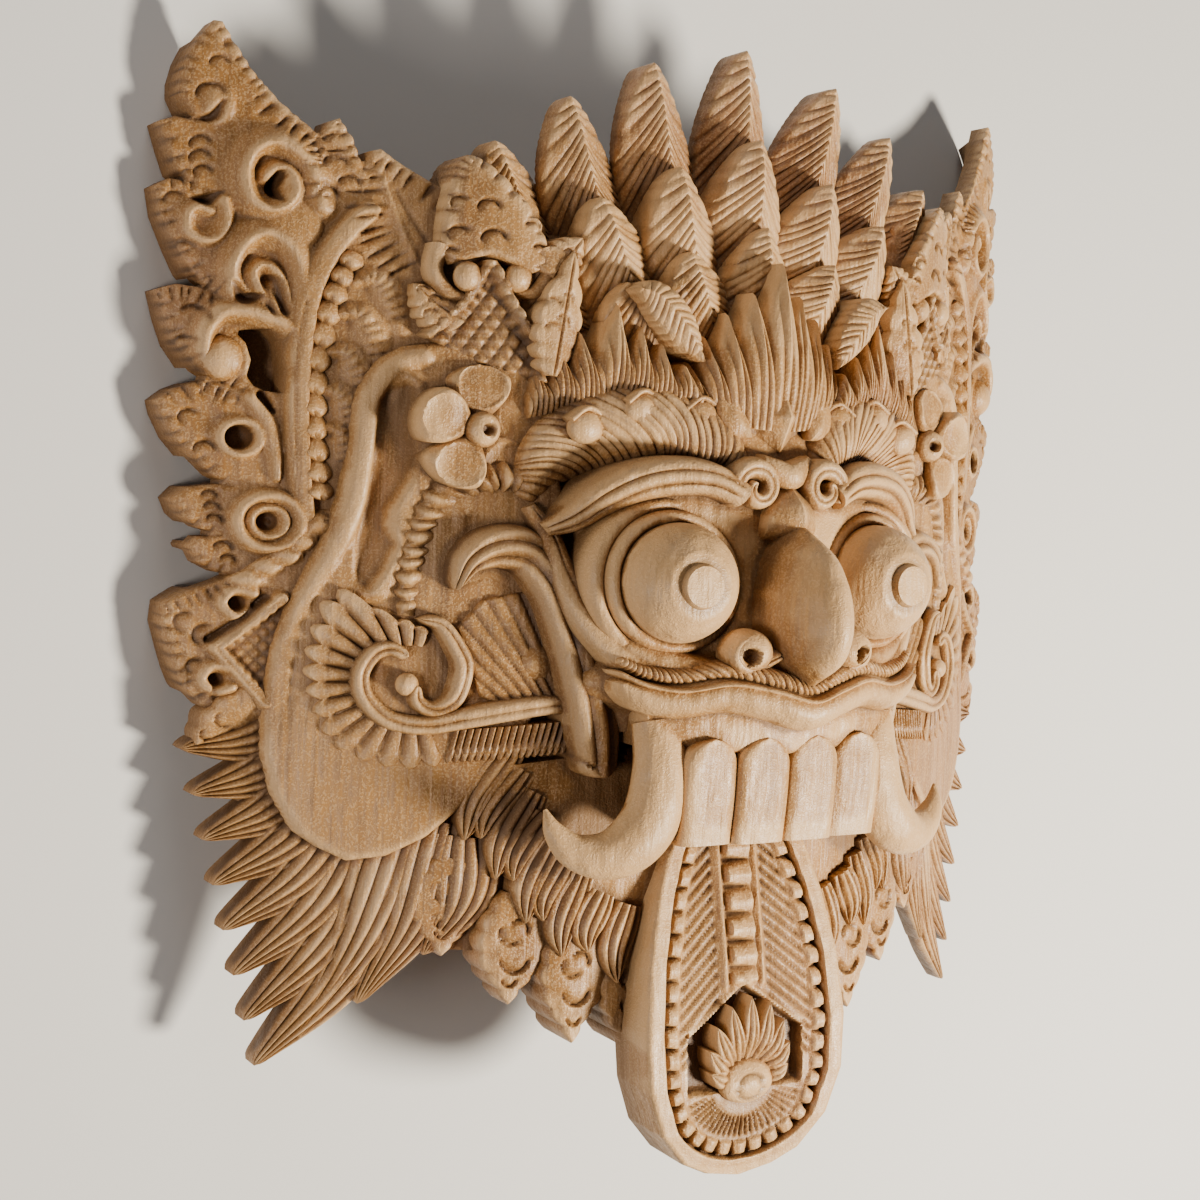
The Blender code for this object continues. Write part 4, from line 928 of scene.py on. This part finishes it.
beard = {
    'locks': 8,
    'firstTip': (-217.5, -64.0),
    'tipStep': (4.0, -19.6),
    'firstRoot': (-170, -36),
    'rootStep': (5.0, -9.0),
    'widths': (10, 13, 13, 10.5, 6.5, 1.6),
    'lowTips': [(-174, -188), (-153, -171), (-130, -148)],
    'jawRim': [(-103, -64, 108), (-97, -76, 110), (-90, -90, 113), (-84, -104, 115), (-76, -115, 118),
               (-63, -126, 121), (-44, -134, 124)],
    'collar': [((-114, -108), (-122, -130), (-124, -148)), ((-90, -122), (-97, -148), (-99, -168)),
               ((-66, -134), (-72, -162), (-73, -185)), ((-40, -142), (-46, -168), (-48, -189))],
    'slit': [(-57, -40), (-57, -52), (-59, -64)],
}


def makeBeard():
    part = Region('mask_beard')
    for lock in range(beard['locks']):
        tipX, tipY = (beard['firstTip'][i] + beard['tipStep'][i] * lock for i in (0, 1))
        rootX, rootY = (beard['firstRoot'][i] + beard['rootStep'][i] * lock for i in (0, 1))
        midX, midY = (tipX + rootX) / 2 + 5, (tipY + rootY) / 2 - 7
        spine = [(rootX, rootY, float(logHeight(rootX)) - 4.0),
                 (midX, midY, float(logHeight(midX)) - 1.5), (tipX, tipY, float(logHeight(tipX)) + 1.5)]
        part.strip(spine, beard['widths'], rise=(2, 4, 5, 4.5, 3, 1.5), power=2.0, taper=0.0, flutes=5,
                   rows=56, fluteDepth=2.2, fluteSharp=1.0, edge=1.6, back=0.3 + 0.3 * lock, hug=0.9)
    for count, (tipX, tipY) in enumerate(beard['lowTips']):
        rootX, rootY = -134 + 9 * count, -84 - 6 * count
        midX, midY = (tipX + rootX) / 2 + 4, (tipY + rootY) / 2 - 3
        part.strip(((rootX, rootY), (midX, midY), (tipX, tipY)), (13, 16, 15, 10.5, 6, 1.6),
                   lift=1.0 + 0.8 * count, rise=(3, 4.5, 5, 4, 2, 1), power=2.0, taper=0.0, flutes=6,
                   rows=60, fluteDepth=2.1, fluteSharp=1.0, edge=1.6, back=2.6 + 0.3 * count, hug=0.9)
    rim = np.array(beard['jawRim'], float)
    for tuft in range(9):
        root = smoothCurve(rim, np.array([0.0 + tuft / 8.6]))[0]
        length = 33 - 2.2 * (tuft % 2) * 4
        tip = (root[0] - 15 + tuft * 1.5, root[1] - length + tuft * 0.6)
        middle = ((root[0] + tip[0]) / 2 - 2.5, (root[1] + tip[1]) / 2 + 1)
        part.strip(((root[0] + 2, root[1] + 6), middle, tip), (6.5, 8.5, 8.5, 7, 4.5, 0.8),
                   lift=7.0 + 0.5 * (tuft % 2), rise=(3, 4, 4, 3, 1.5), taper=0.0, flutes=4, rows=34,
                   fluteDepth=1.9, fluteSharp=1.0, edge=1.2, hug=0.7, bury=14)
    for count, spine in enumerate(beard['collar']):
        (x, y), (hx, hy) = spine[1], spine[2]
        cuts = [crescent((x + 1, y + 13), 4.2, 60, 2.6), crescent((x - 2, y + 11), 4.8, 230, 2.6),
                crescent((x, y), 6.2, 270, 2.8), crescent((hx, hy + 11), 3.0, 270, 2.4)]
        part.strip(spine, (13, 16.5, 16.5, 13, 7, 1.5), lift=2.0 + 0.5 * count, rise=3.0, power=3.0,
                   taper=0.3, lanes=36, rows=48, cuts=cuts, notches=6, notchDepth=1.4, edge=1.6,
                   back=1.0 + 0.4 * count, hug=0.6)
    jaw = [(x, y) for x, y, _ in beard['jawRim']]
    edge = [(x, y, 114 + 7 * (count / 6)) for count, (x, y) in enumerate(jaw)]
    middle = [(0, y, 126) for y in (-50, -66, -82, -98, -112, -124, -136)]
    part.panel(edge, middle, lanes=60, rows=60, ownHeight=True, rise=6.0, power=2.0, taper=0, edge=1.0,
               cuts=[stroke(beard['slit'], (3.0, 4.5, 2.5), 22.0, power=4.0)], bury=26)
    part.strip(beard['jawRim'], (2.4, 2.6), rise=4.5, power=3.0, taper=0.0, lanes=8, rows=240, ribs=40,
               ribDepth=0.7, edge=1.2, bury=14)
    return part


# Face

face = {
    'centre': (0.0, 5.0, 116.0),
    'radii': (86.0, 105.0, 50.0),
    'muzzle': (0.0, -26.0, 120.0),
    'muzzleRadii': (86.0, 24.0, 56.0),
    'eye': (-50.0, 16.0, 159.0),
    'eyeRadius': 25.0,
    'pupilRing': 11.6,
    'pupilDisc': 9.6,
    'lip': [(-76, -25, 151), (-66, -30, 158), (-52, -32, 165), (-34, -29, 173), (-16, -32, 180),
            (0, -36, 183)],
}


def domeHeight(x, y, centre, radii):
    inside = 1 - ((x - centre[0]) / radii[0]) ** 2 - ((y - centre[1]) / radii[1]) ** 2
    return centre[2] + radii[2] * np.sqrt(np.clip(inside, 0, 1)) - 40 * (inside < 0)


def faceHeight(x, y):
    levels = [logHeight(x) - 2, domeHeight(x, y, face['centre'], face['radii']),
              domeHeight(x, y, face['muzzle'], face['muzzleRadii'])]
    return np.maximum.reduce(levels)


def bothHalves(points):
    return list(points) + [(-p[0],) + tuple(p[1:]) for p in reversed(points[:-1])]


def makeFace():
    part = Region('mask_face')

    def skin(x, y, s, t):
        height = faceHeight(x, y) - (logHeight(x) - 8)
        far = np.hypot(np.abs(x) - 50, y - 16)
        socket = 6.0 * np.exp(-((far - 26.5) / 2.4) ** 2) + 6.0 * (far < 25)
        return height - socket

    part.panel([(-92, 96), (-92, 20), (-92, -48)], [(92, 96), (92, 20), (92, -48)], lift=-8.0, lanes=110,
               rows=84, straight=True, rise=0, edge=0.1, relief=skin, bury=20, middle=True)
    makeEyes(part)
    makeBrows(part)
    makeNose(part)
    makeMouth(part)
    makeHairline(part)
    return part


def makeEyes(part):
    ex, ey, ez = face['eye']
    radius = face['eyeRadius']
    made = bmesh.ops.create_uvsphere(part.bm, u_segments=56, v_segments=46, radius=1.0)['verts']
    place = np.array([vert.co[:] for vert in made])
    polar = np.degrees(np.arccos(np.clip(place[:, 2], -1, 1)))
    ring = math.degrees(math.asin(face['pupilRing'] / radius))
    disc = math.degrees(math.asin(face['pupilDisc'] / radius))
    groove = 1.9 * np.exp(-((polar - (ring + disc) / 2) / 2.4) ** 2)
    outer = 0.4 * np.exp(-((polar - ring - 5.5) / 3.5) ** 2)
    place = place * (radius - groove + outer)[:, None]
    flat = polar < disc - 2
    level = radius * math.cos(math.radians(disc)) + 1.6
    place[flat, 2] = level + 0.4 * (1 - (polar[flat] / disc) ** 2)
    yaw = math.radians(-5)
    x = place[:, 0] * math.cos(yaw) + place[:, 2] * math.sin(yaw)
    z = -place[:, 0] * math.sin(yaw) + place[:, 2] * math.cos(yaw)
    # the pupil ring's groove depth is painted shade there
    part.put(made, x + ex, place[:, 1] + ey, z + ez, np.clip(groove / 2.0, 0, 1), False)
    for reach, level, half, rise in ((26.4, 156, 3.0, 3.4), (31.8, 150, 3.6, 4.2)):
        loop = []
        for count in range(25):
            angle = 2 * math.pi * count / 24
            loop.append((ex + reach * math.cos(angle), ey + (reach + 0.6) * math.sin(angle),
                         level + 4.5 * math.cos(angle) - 2 * math.sin(angle)))
        part.strip(loop, half, rise=rise, power=2.0, taper=0, lanes=10, rows=96, edge=0.8, bury=18)
    fold = [(-13, -13, 177), (-30, -21, 170), (-48, -21, 162), (-66, -15, 152), (-80, 0, 140),
            (-88, 18, 130), (-92, 34, 123), (-98, 46, 114)]
    part.strip(fold, (3.5, 6.5, 8.5, 9.0, 8.0, 6.5, 5.0, 3.5), rise=5.5, power=2.0, taper=0.2, flutes=2,
               fluteDepth=1.2, fluteSharp=2.0, rows=80, edge=1.2, bury=18)


def makeBrows(part):
    body = [(-99, 48, 112), (-91, 64, 118), (-79, 75, 125), (-62, 81, 135), (-44, 82, 143), (-28, 73, 151),
            (-19, 62, 156)]
    part.strip(body, (5, 13, 16, 17, 16, 12, 5), rise=(5, 8, 9, 10, 10, 8, 5), power=2.0, taper=0.0,
               ribs=30, ribDepth=1.8, ribSharp=2.0, shear=(-0.7, 0.7), lanes=16, edge=1.6, bury=22)
    rim = [(-101, 60, 112), (-92, 76, 117), (-80, 88, 125), (-62, 95, 134), (-44, 96, 142), (-27, 86, 149)]
    part.strip(rim, 1.6, rise=2.5, taper=0, lanes=6, rows=70, edge=0.5, bury=16)
    for x, y, z in ((-81, 79, 132), (-59, 87, 140), (-35, 85, 147)):
        part.ball((x, y, z), (8.6, 7.0, 6.0), 28, 16)
        part.strip([(x - 8, y + 3, z + 2.5), (x, y + 8, z + 2.5), (x + 8, y + 4, z + 3)], 1.3, rise=1.5,
                   lanes=6, rows=24, edge=0.5, bury=10)
    ridge = [(-95, 36, 124), (-86, 41, 133), (-76, 50, 142), (-64, 57, 150), (-50, 60, 156), (-36, 59, 161),
             (-24, 53, 165)]
    part.strip(ridge, (3.5, 6, 8, 8.5, 8.5, 7.5, 6.0), rise=6.0, power=2.2, taper=0.0, flutes=3, rows=80,
               fluteDepth=1.8, fluteSharp=1.6, edge=1.6, bury=22)
    part.scroll((-17, 56), 10.5, -1.25, 215, 4.6, lift=165 - 123, inner=0.25, climb=3, rise=3.4, rows=80,
                flutes=2, fluteDepth=1.2, edge=1.2, bury=18)
    part.strip([(-13, 66, 161), (-6, 63, 164), (0, 61, 166), (6, 63, 164), (13, 66, 161)],
               (4.5, 5.5, 5.5, 4.5), rise=4, lanes=14, rows=40, edge=1.2, bury=20, middle=True)

    def pyramid(x, y):
        return 13.0 * np.clip(1 - np.abs(x) / 13 - np.abs(y - 86) / 24, 0, 1)

    part.canvas([(0, 71), (-13, 80), (-11, 90), (0, 106), (11, 90), (13, 80)], lift=29, cell=0.8,
                raised=[pyramid], edge=0.8, bury=22, middle=True)
    part.strip([(-12, 100, 148), (-20, 94, 150), (-21, 84, 154), (-15, 77, 156)], (2, 7, 7, 2), rise=4,
               power=1.2, lanes=14, rows=30, edge=1, bury=18)


def makeNose(part):
    part.strip([(0, 58, 158), (0, 48, 166), (0, 38, 166), (0, 30, 156)], (5, 11, 14, 12), rise=(6, 9, 9, 4),
               power=1.15, taper=0, lanes=24, rows=30, edge=1.0, bury=24, middle=True)
    part.strip([(0, 40, 164), (0, 24, 163), (0, 8, 162), (0, -10, 160), (0, -25, 160)],
               (4, 12, 16, 17.5, 17, 14, 6), rise=(12, 32, 41, 46, 48, 43, 27), power=2.0, bulge=0.66,
               taper=0, lanes=48, rows=64, edge=0.6, bury=24, middle=True)
    part.ball((-25, -11.5, 172), (11.5, 9.5, 12.5), 36, 24, cuts=[drill((-28, -13), 3.6, 7.0)])
    part.scroll((-27, -11), 9.5, -1.0, 40, 2.8, lift=float(177 - logHeight(27)), inner=0.35, climb=4,
                rise=2.0, rows=50, lanes=8, bury=12)


def makeMouth(part):
    lip = bothHalves(face['lip'])
    part.strip(lip, (3, 6.5, 8, 8, 8, 8.5, 8, 8, 8, 6.5, 3), rise=7.5, power=2.2, taper=0, lanes=20,
               rows=150, edge=2.0, bury=30, middle=True)
    seam = [(x, y + 4.5, z + 1) for x, y, z in lip]
    part.strip(seam, (1.5, 2.0, 2.0, 1.5), rise=6.5, taper=0, lanes=8, rows=120, edge=0.5, bury=22,
               middle=True)
    cord = [(x * 0.98, y + 9.5, z - 1.5) for x, y, z in lip]
    part.strip(cord, (2.5, 4.2, 4.4, 4.4, 4.2, 2.5), rise=6.0, power=2.4, taper=0, ribs=62, ribDepth=1.5,
               shear=(-0.7, 0.7), lanes=12, edge=1.0, bury=24, middle=True)
    gum = [(-62, -44, 156), (-40, -42, 165), (0, -44, 172), (40, -42, 165), (62, -44, 156)]
    part.strip(gum, (9, 12, 12, 12, 9), rise=3.0, taper=0, lanes=20, rows=90, edge=2.0, bury=34,
               middle=True)
    for tooth in range(2):
        x = -12.3 - 24.5 * tooth
        z = 172 - 3.0 * tooth
        part.strip([(x, -93, z - 4), (x, -72, z - 1), (x, -48, z)],
                   12.5, rise=2.6, power=6.0, taper=0, lanes=26, rows=60, edge=0.8, point=11.0, bury=34)
    tusk = [(-55, -42, 152), (-54, -60, 156), (-58, -80, 157), (-67, -92, 156), (-78, -97, 153),
            (-90, -95, 149), (-98, -87, 146), (-101, -78, 143)]
    part.tube(tusk, (10.5, 12, 12.5, 12, 10, 7.5, 4.6, 0.8), height=0.95, sides=36, rows=90)


def tongueHeight(y):
    return np.interp(-y, np.linspace(92, 246, 8), [130, 134, 139, 143, 146, 147, 146, 142])


tongue = {
    'levels': [-88, -105, -122, -150, -178, -202, -222, -237, -243, -246],
    'halves': [30, 37, 43, 49, 51.5, 50, 43, 30, 18, 3],
    'border': 8.5,
    'bead': 9.6,
    'boss': (0.0, -203.0),
}


def makeTongue():
    part = Region('mask_tongue')
    levels = np.array(tongue['levels'][::-1], float)
    halves = np.array(tongue['halves'][::-1], float)
    bx, by = tongue['boss']

    def relief(x, y, s, t):
        middle = np.abs(x)
        wide = np.interp(y, levels, halves)
        inward = np.minimum(wide - middle, (y + 246) * 1.1)
        inward = np.minimum(inward, 52 - np.hypot(x, np.minimum(y + 195, 0)))
        border = tongue['border']
        z = 3.0 * (1 - step(inward, border - 0.6, border + 0.8))
        z = z - 1.6 * np.exp(-((inward - border - 1.0) / 0.8) ** 2)
        below = np.degrees(np.arctan2(-(y + 195), middle + 0.01)) * -0.8
        phase = np.where(y > -195, y + 195, below) / tongue['bead']
        phase = np.abs(phase - np.round(phase))
        inRow = step(inward, border + 0.5, border + 2) * (1 - step(inward, border + 6.5, border + 8.5))
        z = z + inRow * 2.4 * np.sqrt(np.clip(phase * 2, 0, 1))
        notch = np.clip(1 - phase * 4.2 - (inward - border - 0.5) / 8.0, 0, 1) ** 0.6
        z = z - 4.6 * notch * (inward > border + 0.3)
        rib = np.exp(-((middle - 9.5) / 1.7) ** 2) * step(y, -166, -160)
        z = z + 2.6 * rib
        inner = (1 - step(middle, 5.5, 7.5)) * step(y, -163, -158)
        knot = np.abs((y + 108) / 11.5 - np.round((y + 108) / 11.5))
        z = z + inner * 3.4 * np.sqrt(np.clip(knot * 2, 0, 1))
        z = z - inner * 4.0 * np.clip(1 - knot * 3.6 - (x + 7.5) / 16.0, 0, 1) ** 0.6
        field = step(inward, 16.5, 18.5) * step(middle, 12.0, 13.5)
        upper = step(y, -198, -192)
        chevron = valleys((y + 0.8 * middle) / 5.4, 1.0)
        niche = step(y + 162 + 0.68 * middle, -1.0, 1.0)
        inNiche = (1 - niche) * (1 - step(middle, 28, 30)) * step(y, -208, -204)
        z = z - 1.9 * chevron * field * upper * (1 - inNiche) - 6.0 * inNiche
        z = z + 1.8 * np.exp(-((y + 162 + 0.68 * middle - 2.0) / 1.6) ** 2) * (middle < 30)
        ray = np.degrees(np.arctan2(middle, -(y - by)))
        lower = (1 - step(y, -212, -206)) * step(np.hypot(x - bx, y - by), 15, 18)
        z = z - 1.9 * valleys(ray / 6.6, 1.0) * lower * step(inward, 17.0, 19.5)
        return z - 1.6 * np.clip(1 - (x / 30) ** 2, 0, 1) * (1 - inner)

    part.panel([(-w, y, float(tongueHeight(y))) for w, y in zip(tongue['halves'], tongue['levels'])],
               [(w, y, float(tongueHeight(y))) for w, y in zip(tongue['halves'], tongue['levels'])],
               lanes=150, rows=230, straight=True, ownHeight=True, rise=0, edge=2.5, relief=relief,
               bury=27, middle=True)
    for ray in range(-4, 5):
        angle = math.radians(90 - 19 * ray)
        reach = 38 - 1.7 * abs(ray) ** 1.5
        foot = (8 * math.cos(angle), by + 6 * math.sin(angle), 143)
        tip = (0.85 * reach * math.cos(angle), by + reach * math.sin(angle), 149)
        bend = (0.6 * reach * math.cos(angle), by + 0.55 * reach * math.sin(angle), 150)
        part.strip((foot, bend, tip), (3.5, 5.0, 4.8, 3.6, 0.8), rise=2.4, flutes=3, rows=24,
                   fluteDepth=1.3, fluteSharp=1.0, edge=0.8, bury=9, middle=True)

    def ring(x, y):
        return 1.8 * np.exp(-((np.hypot(x - bx, (y - by + 2) * 1.1) - 6.2) / 1.1) ** 2)

    part.ball((bx, by, 146), (14.0, 10.0, 6.5), 36, 16, cuts=[ring], middle=True)
    return part


# Painted shade in the hollows and painted highlight on raised parts, and the wood

hollows = {
    'cell': 1.3,
    'margin': 20,
    'fillRounds': 4,    # cells without a vertex take the height of their neighbours
    'fillDrop': 0.995,
    'blurs': [(1, 2.4, 0.55), (4, 6.5, 0.5), (9, 26.0, 0.2)],  # radius, depth at which the painted shade is full, weight
}


def boxBlur(field, radius):
    for axis in (0, 1):
        padded = np.apply_along_axis(lambda line: np.pad(line, radius + 1, mode='edge'), axis, field)
        total = np.cumsum(padded, axis=axis)
        span = 2 * radius + 1
        high = np.take(total, range(span, total.shape[axis]), axis=axis)
        low = np.take(total, range(0, total.shape[axis] - span), axis=axis)
        field = np.take((high - low) / span, range(0, field.shape[axis]), axis=axis)
    return field


def readField(field, place):  # between the middles of four cells
    place = np.clip(place - 0.5, 0, np.array(field.shape) - 1.001)
    cell = place.astype(int)
    (i, j), (u, v) = cell.T, (place - cell).T
    near = field[i, j] * (1 - v) + field[i, j + 1] * v
    far = field[i + 1, j] * (1 - v) + field[i + 1, j + 1] * v
    return near * (1 - u) + far * u


# Painted shade: a vertex lying below the blurred heights around it gets a 'hollow' value that paints the
# wood darker, like occlusion in a hollow.
def shadeHollows(pieces):
    cell = hollows['cell']
    clouds = []
    for piece in pieces:
        places = np.empty(len(piece.data.vertices) * 3)
        piece.data.vertices.foreach_get('co', places)
        clouds.append(places.reshape(-1, 3))
    every = np.concatenate(clouds)
    low = every.min(0) - hollows['margin']
    wide, tall = np.ceil((every.max(0) + hollows['margin'] - low)[:2] / cell).astype(int)
    top = np.zeros((wide, tall))
    column, line = ((every[:, :2] - low[:2]) / cell).astype(int).T
    np.maximum.at(top, (column, line), every[:, 2])
    shifts = [(dx, dy) for dx in (-1, 0, 1) for dy in (-1, 0, 1)]
    for _ in range(hollows['fillRounds']):
        around = np.maximum.reduce([np.roll(top, shift, (0, 1)) for shift in shifts])
        top = np.where(top <= 0, around * hollows['fillDrop'], top)
    blurred = [(boxBlur(boxBlur(top, radius), radius), full, weight)
               for radius, full, weight in hollows['blurs']]
    for piece, cloud in zip(pieces, clouds):
        place = (cloud[:, :2] - low[:2]) / cell
        shade = np.zeros(len(cloud))
        for field, full, weight in blurred:
            shade += weight * np.clip((readField(field, place) - cloud[:, 2]) / full, -0.5, 1)
        # painted shade in the hollows
        layer = piece.data.attributes.new('hollow', 'FLOAT', 'POINT')
        layer.data.foreach_set('value', np.clip(shade, 0, 1))
        # painted highlight: a vertex standing above the blurred heights around it is painted paler
        layer = piece.data.attributes.new('raisedHighlight', 'FLOAT', 'POINT')
        layer.data.foreach_set('value', np.clip(-shade, 0, 1))


class Value:  # a socket in an expression: arithmetic adds Math nodes
    def __init__(self, shader, socket):
        self.shader, self.socket = shader, socket

    def math(self, operation, other):
        return self.shader.node('ShaderNodeMath', {'operation': operation}, {0: self, 1: other})[0]

    def __add__(self, other):
        return self.math('ADD', other)

    def __mul__(self, other):
        return self.math('MULTIPLY', other)

    __radd__ = __add__
    __rmul__ = __mul__

    def clamp(self):
        return self.shader.node('ShaderNodeClamp', {}, {'Value': self})[0]

    def between(self, low, high):
        values = {'Value': self, 'From Min': low, 'From Max': high}
        return self.shader.node('ShaderNodeMapRange', {'interpolation_type': 'SMOOTHSTEP'}, values)[0]


class Shader:
    def __init__(self, name):
        self.material = bpy.data.materials.new(name)
        self.material.use_nodes = True
        self.tree = self.material.node_tree
        self.surface = self.tree.nodes['Principled BSDF']

    def node(self, kind, settings, values):
        made = self.tree.nodes.new(kind)
        for key, value in settings.items():
            setattr(made, key, value)
        for key, value in values.items():
            self.feed(made.inputs[key], value)
        return [Value(self, socket) for socket in made.outputs]

    def feed(self, socket, value):
        if isinstance(value, Value):
            self.tree.links.new(value.socket, socket)
        else:
            socket.default_value = value

    def mix(self, factor, first, second):
        made = self.tree.nodes.new('ShaderNodeMix')
        made.data_type = 'RGBA'
        self.feed(made.inputs['Factor'], factor)
        self.feed(made.inputs[6], first)
        self.feed(made.inputs[7], second)
        return Value(self, made.outputs[2])


wood = {
    'pale': (0.44, 0.232, 0.078, 1),
    'honey': (0.34, 0.155, 0.032, 1),
    'pink': (0.42, 0.21, 0.105, 1),
    'streak': (0.17, 0.07, 0.018, 1),
    # painted shade: the dark brown painted into hollows and grooves
    'hollow': (0.095, 0.042, 0.011, 1),
    # pale speckle colour of the grain, and also the painted highlight on raised parts
    'edge': (0.72, 0.47, 0.23, 1),
    'ring': 0.0042,       # spacing of the year rings in metres
    'pinkShare': 0.6,     # how far each of these changes the colour
    'streakShare': 0.3,
    'ringShare': 0.14,
    'figureShare': 0.24,
    'fibreShare': 0.26,
    'speckleShare': 0.34,
    # painted highlight on raised parts
    'raisedHighlightShare': 0.55,
    'hollowShadeShare': 0.64,
    'grooveShadeShare': 0.85,
    'specular': 0.55,
    'bumpDepth': 0.0012,  # metres
}


def makeWood():
    shader = Shader('carved_wood')
    place = shader.node('ShaderNodeTexCoord', {}, {})[3]

    def turned(scale):
        return shader.node('ShaderNodeMapping', {}, {'Vector': place, 'Scale': scale})[0]

    def noise(vector, scale, detail=4.0, roughness=0.55):
        return shader.node('ShaderNodeTexNoise', {}, {'Vector': vector, 'Scale': scale, 'Detail': detail,
                                                      'Roughness': roughness})[0]

    def attribute(name):
        return shader.node('ShaderNodeAttribute', {'attribute_name': name}, {})[2]

    broad = noise(turned((1, 0.25, 1)), 9.0, 2.0)
    figure = noise(turned((1, 0.06, 1)), 60.0, 2.0)
    fibre = noise(turned((1, 0.035, 1)), 520.0, 1.0)
    rings = shader.node('ShaderNodeTexWave',
                        {'wave_type': 'RINGS', 'rings_direction': 'Y', 'wave_profile': 'SAW'},
                        {'Vector': shader.node('ShaderNodeMapping', {},
                                               {'Vector': place, 'Location': (0.03, 0, 0.06)})[0],
                         'Scale': 0.3 / wood['ring'] / 2, 'Distortion': 3.0, 'Detail': 2.0,
                         'Detail Scale': 0.6})[1]
    streaks = noise(turned((1, 0.03, 0.2)), 30.0, 2.0).between(0.54, 0.64)
    hollow, raisedHighlight, groove = attribute('hollow'), attribute('raisedHighlight'), attribute('groove')

    colour = shader.mix(broad.between(0.35, 0.65), wood['pale'], wood['honey'])
    blush = noise(place, 6.0, 2.0).between(0.5, 0.7)
    colour = shader.mix(blush * wood['pinkShare'], colour, wood['pink'])
    colour = shader.mix(streaks * wood['streakShare'], colour, wood['streak'])
    speckle = noise(place, 850.0, 1.0, 0.8).between(0.46, 0.64)
    grain = (rings * wood['ringShare'] + figure.between(0.4, 0.7) * wood['figureShare']
             + fibre.between(0.45, 0.7) * wood['fibreShare'])
    colour = shader.mix(grain, colour, wood['streak'])
    colour = shader.mix(speckle * wood['speckleShare'], colour, wood['edge'])
    # painted highlight on raised parts
    colour = shader.mix(raisedHighlight.between(0.02, 0.35) * wood['raisedHighlightShare'], colour, wood['edge'])
    # painted shade in the hollows and grooves
    dark = (hollow.between(0.04, 0.85) * wood['hollowShadeShare'] + groove * wood['grooveShadeShare']).clamp()
    colour = shader.mix(dark, colour, wood['hollow'])
    shader.feed(shader.surface.inputs['Base Color'], colour)
    shader.feed(shader.surface.inputs['Roughness'], 0.34 + 0.24 * fibre + 0.2 * hollow)
    shader.surface.inputs['Specular IOR Level'].default_value = wood['specular']
    tools = noise(turned((1, 0.6, 1)), 170.0, 0.0)
    height = fibre * 0.35 + speckle * 0.08 + tools * 0.9
    bump = shader.node('ShaderNodeBump', {},
                       {'Strength': 1.0, 'Distance': wood['bumpDepth'], 'Height': height})[0]
    shader.feed(shader.surface.inputs['Normal'], bump)
    return shader.material


# Floor, surroundings and lights

studio = {
    'floorSize': 4.0,
    'floorColour': (0.72, 0.71, 0.69, 1),
    'floorRoughness': 0.9,
    'skyColour': (0.93, 0.95, 1.0, 1),
    'skyStrength': 0.07,
    'lights': [  # name, place, diameter, watts, colour
        ('key', (0.6, -0.4, 1.1), 0.22, 44.0, (1.0, 0.92, 0.78)),
        ('side', (-1.2, -0.25, 0.5), 0.4, 6.5, (1.0, 0.9, 0.82)),
        ('top', (-0.2, 1.1, 0.6), 0.6, 3.0, (1.0, 0.95, 0.9)),
    ],
}


def makeFloor():
    bm = bmesh.new()
    bmesh.ops.create_grid(bm, x_segments=1, y_segments=1, size=studio['floorSize'])
    mesh = bpy.data.meshes.new('floor')
    bm.to_mesh(mesh)
    bm.free()
    floor = bpy.data.objects.new('floor', mesh)
    bpy.context.scene.collection.objects.link(floor)
    shader = Shader('floor_paper')
    shader.surface.inputs['Base Color'].default_value = studio['floorColour']
    shader.surface.inputs['Roughness'].default_value = studio['floorRoughness']
    mesh.materials.append(shader.material)


def makeWorld():
    world = bpy.data.worlds.new('studio')
    world.use_nodes = True
    background = world.node_tree.nodes['Background']
    background.inputs['Color'].default_value = studio['skyColour']
    background.inputs['Strength'].default_value = studio['skyStrength']
    bpy.context.scene.world = world


makeFloor()
makeWorld()
for light in studio['lights']:
    makeLight(*light)
print('studio made')

regions = [make() for make in (makeGround, makeCrest, makeWings, makeEars, makeBeard, makeFace, makeTongue)]
pieces = [region.finish() for region in regions]
print('carving made')

shadeHollows(pieces)
carvedWood = makeWood()
for piece in pieces:
    piece.data.transform(Matrix.Diagonal((*metresPerUnit, 1)))
    piece.data.materials.append(carvedWood)
print('wood made')
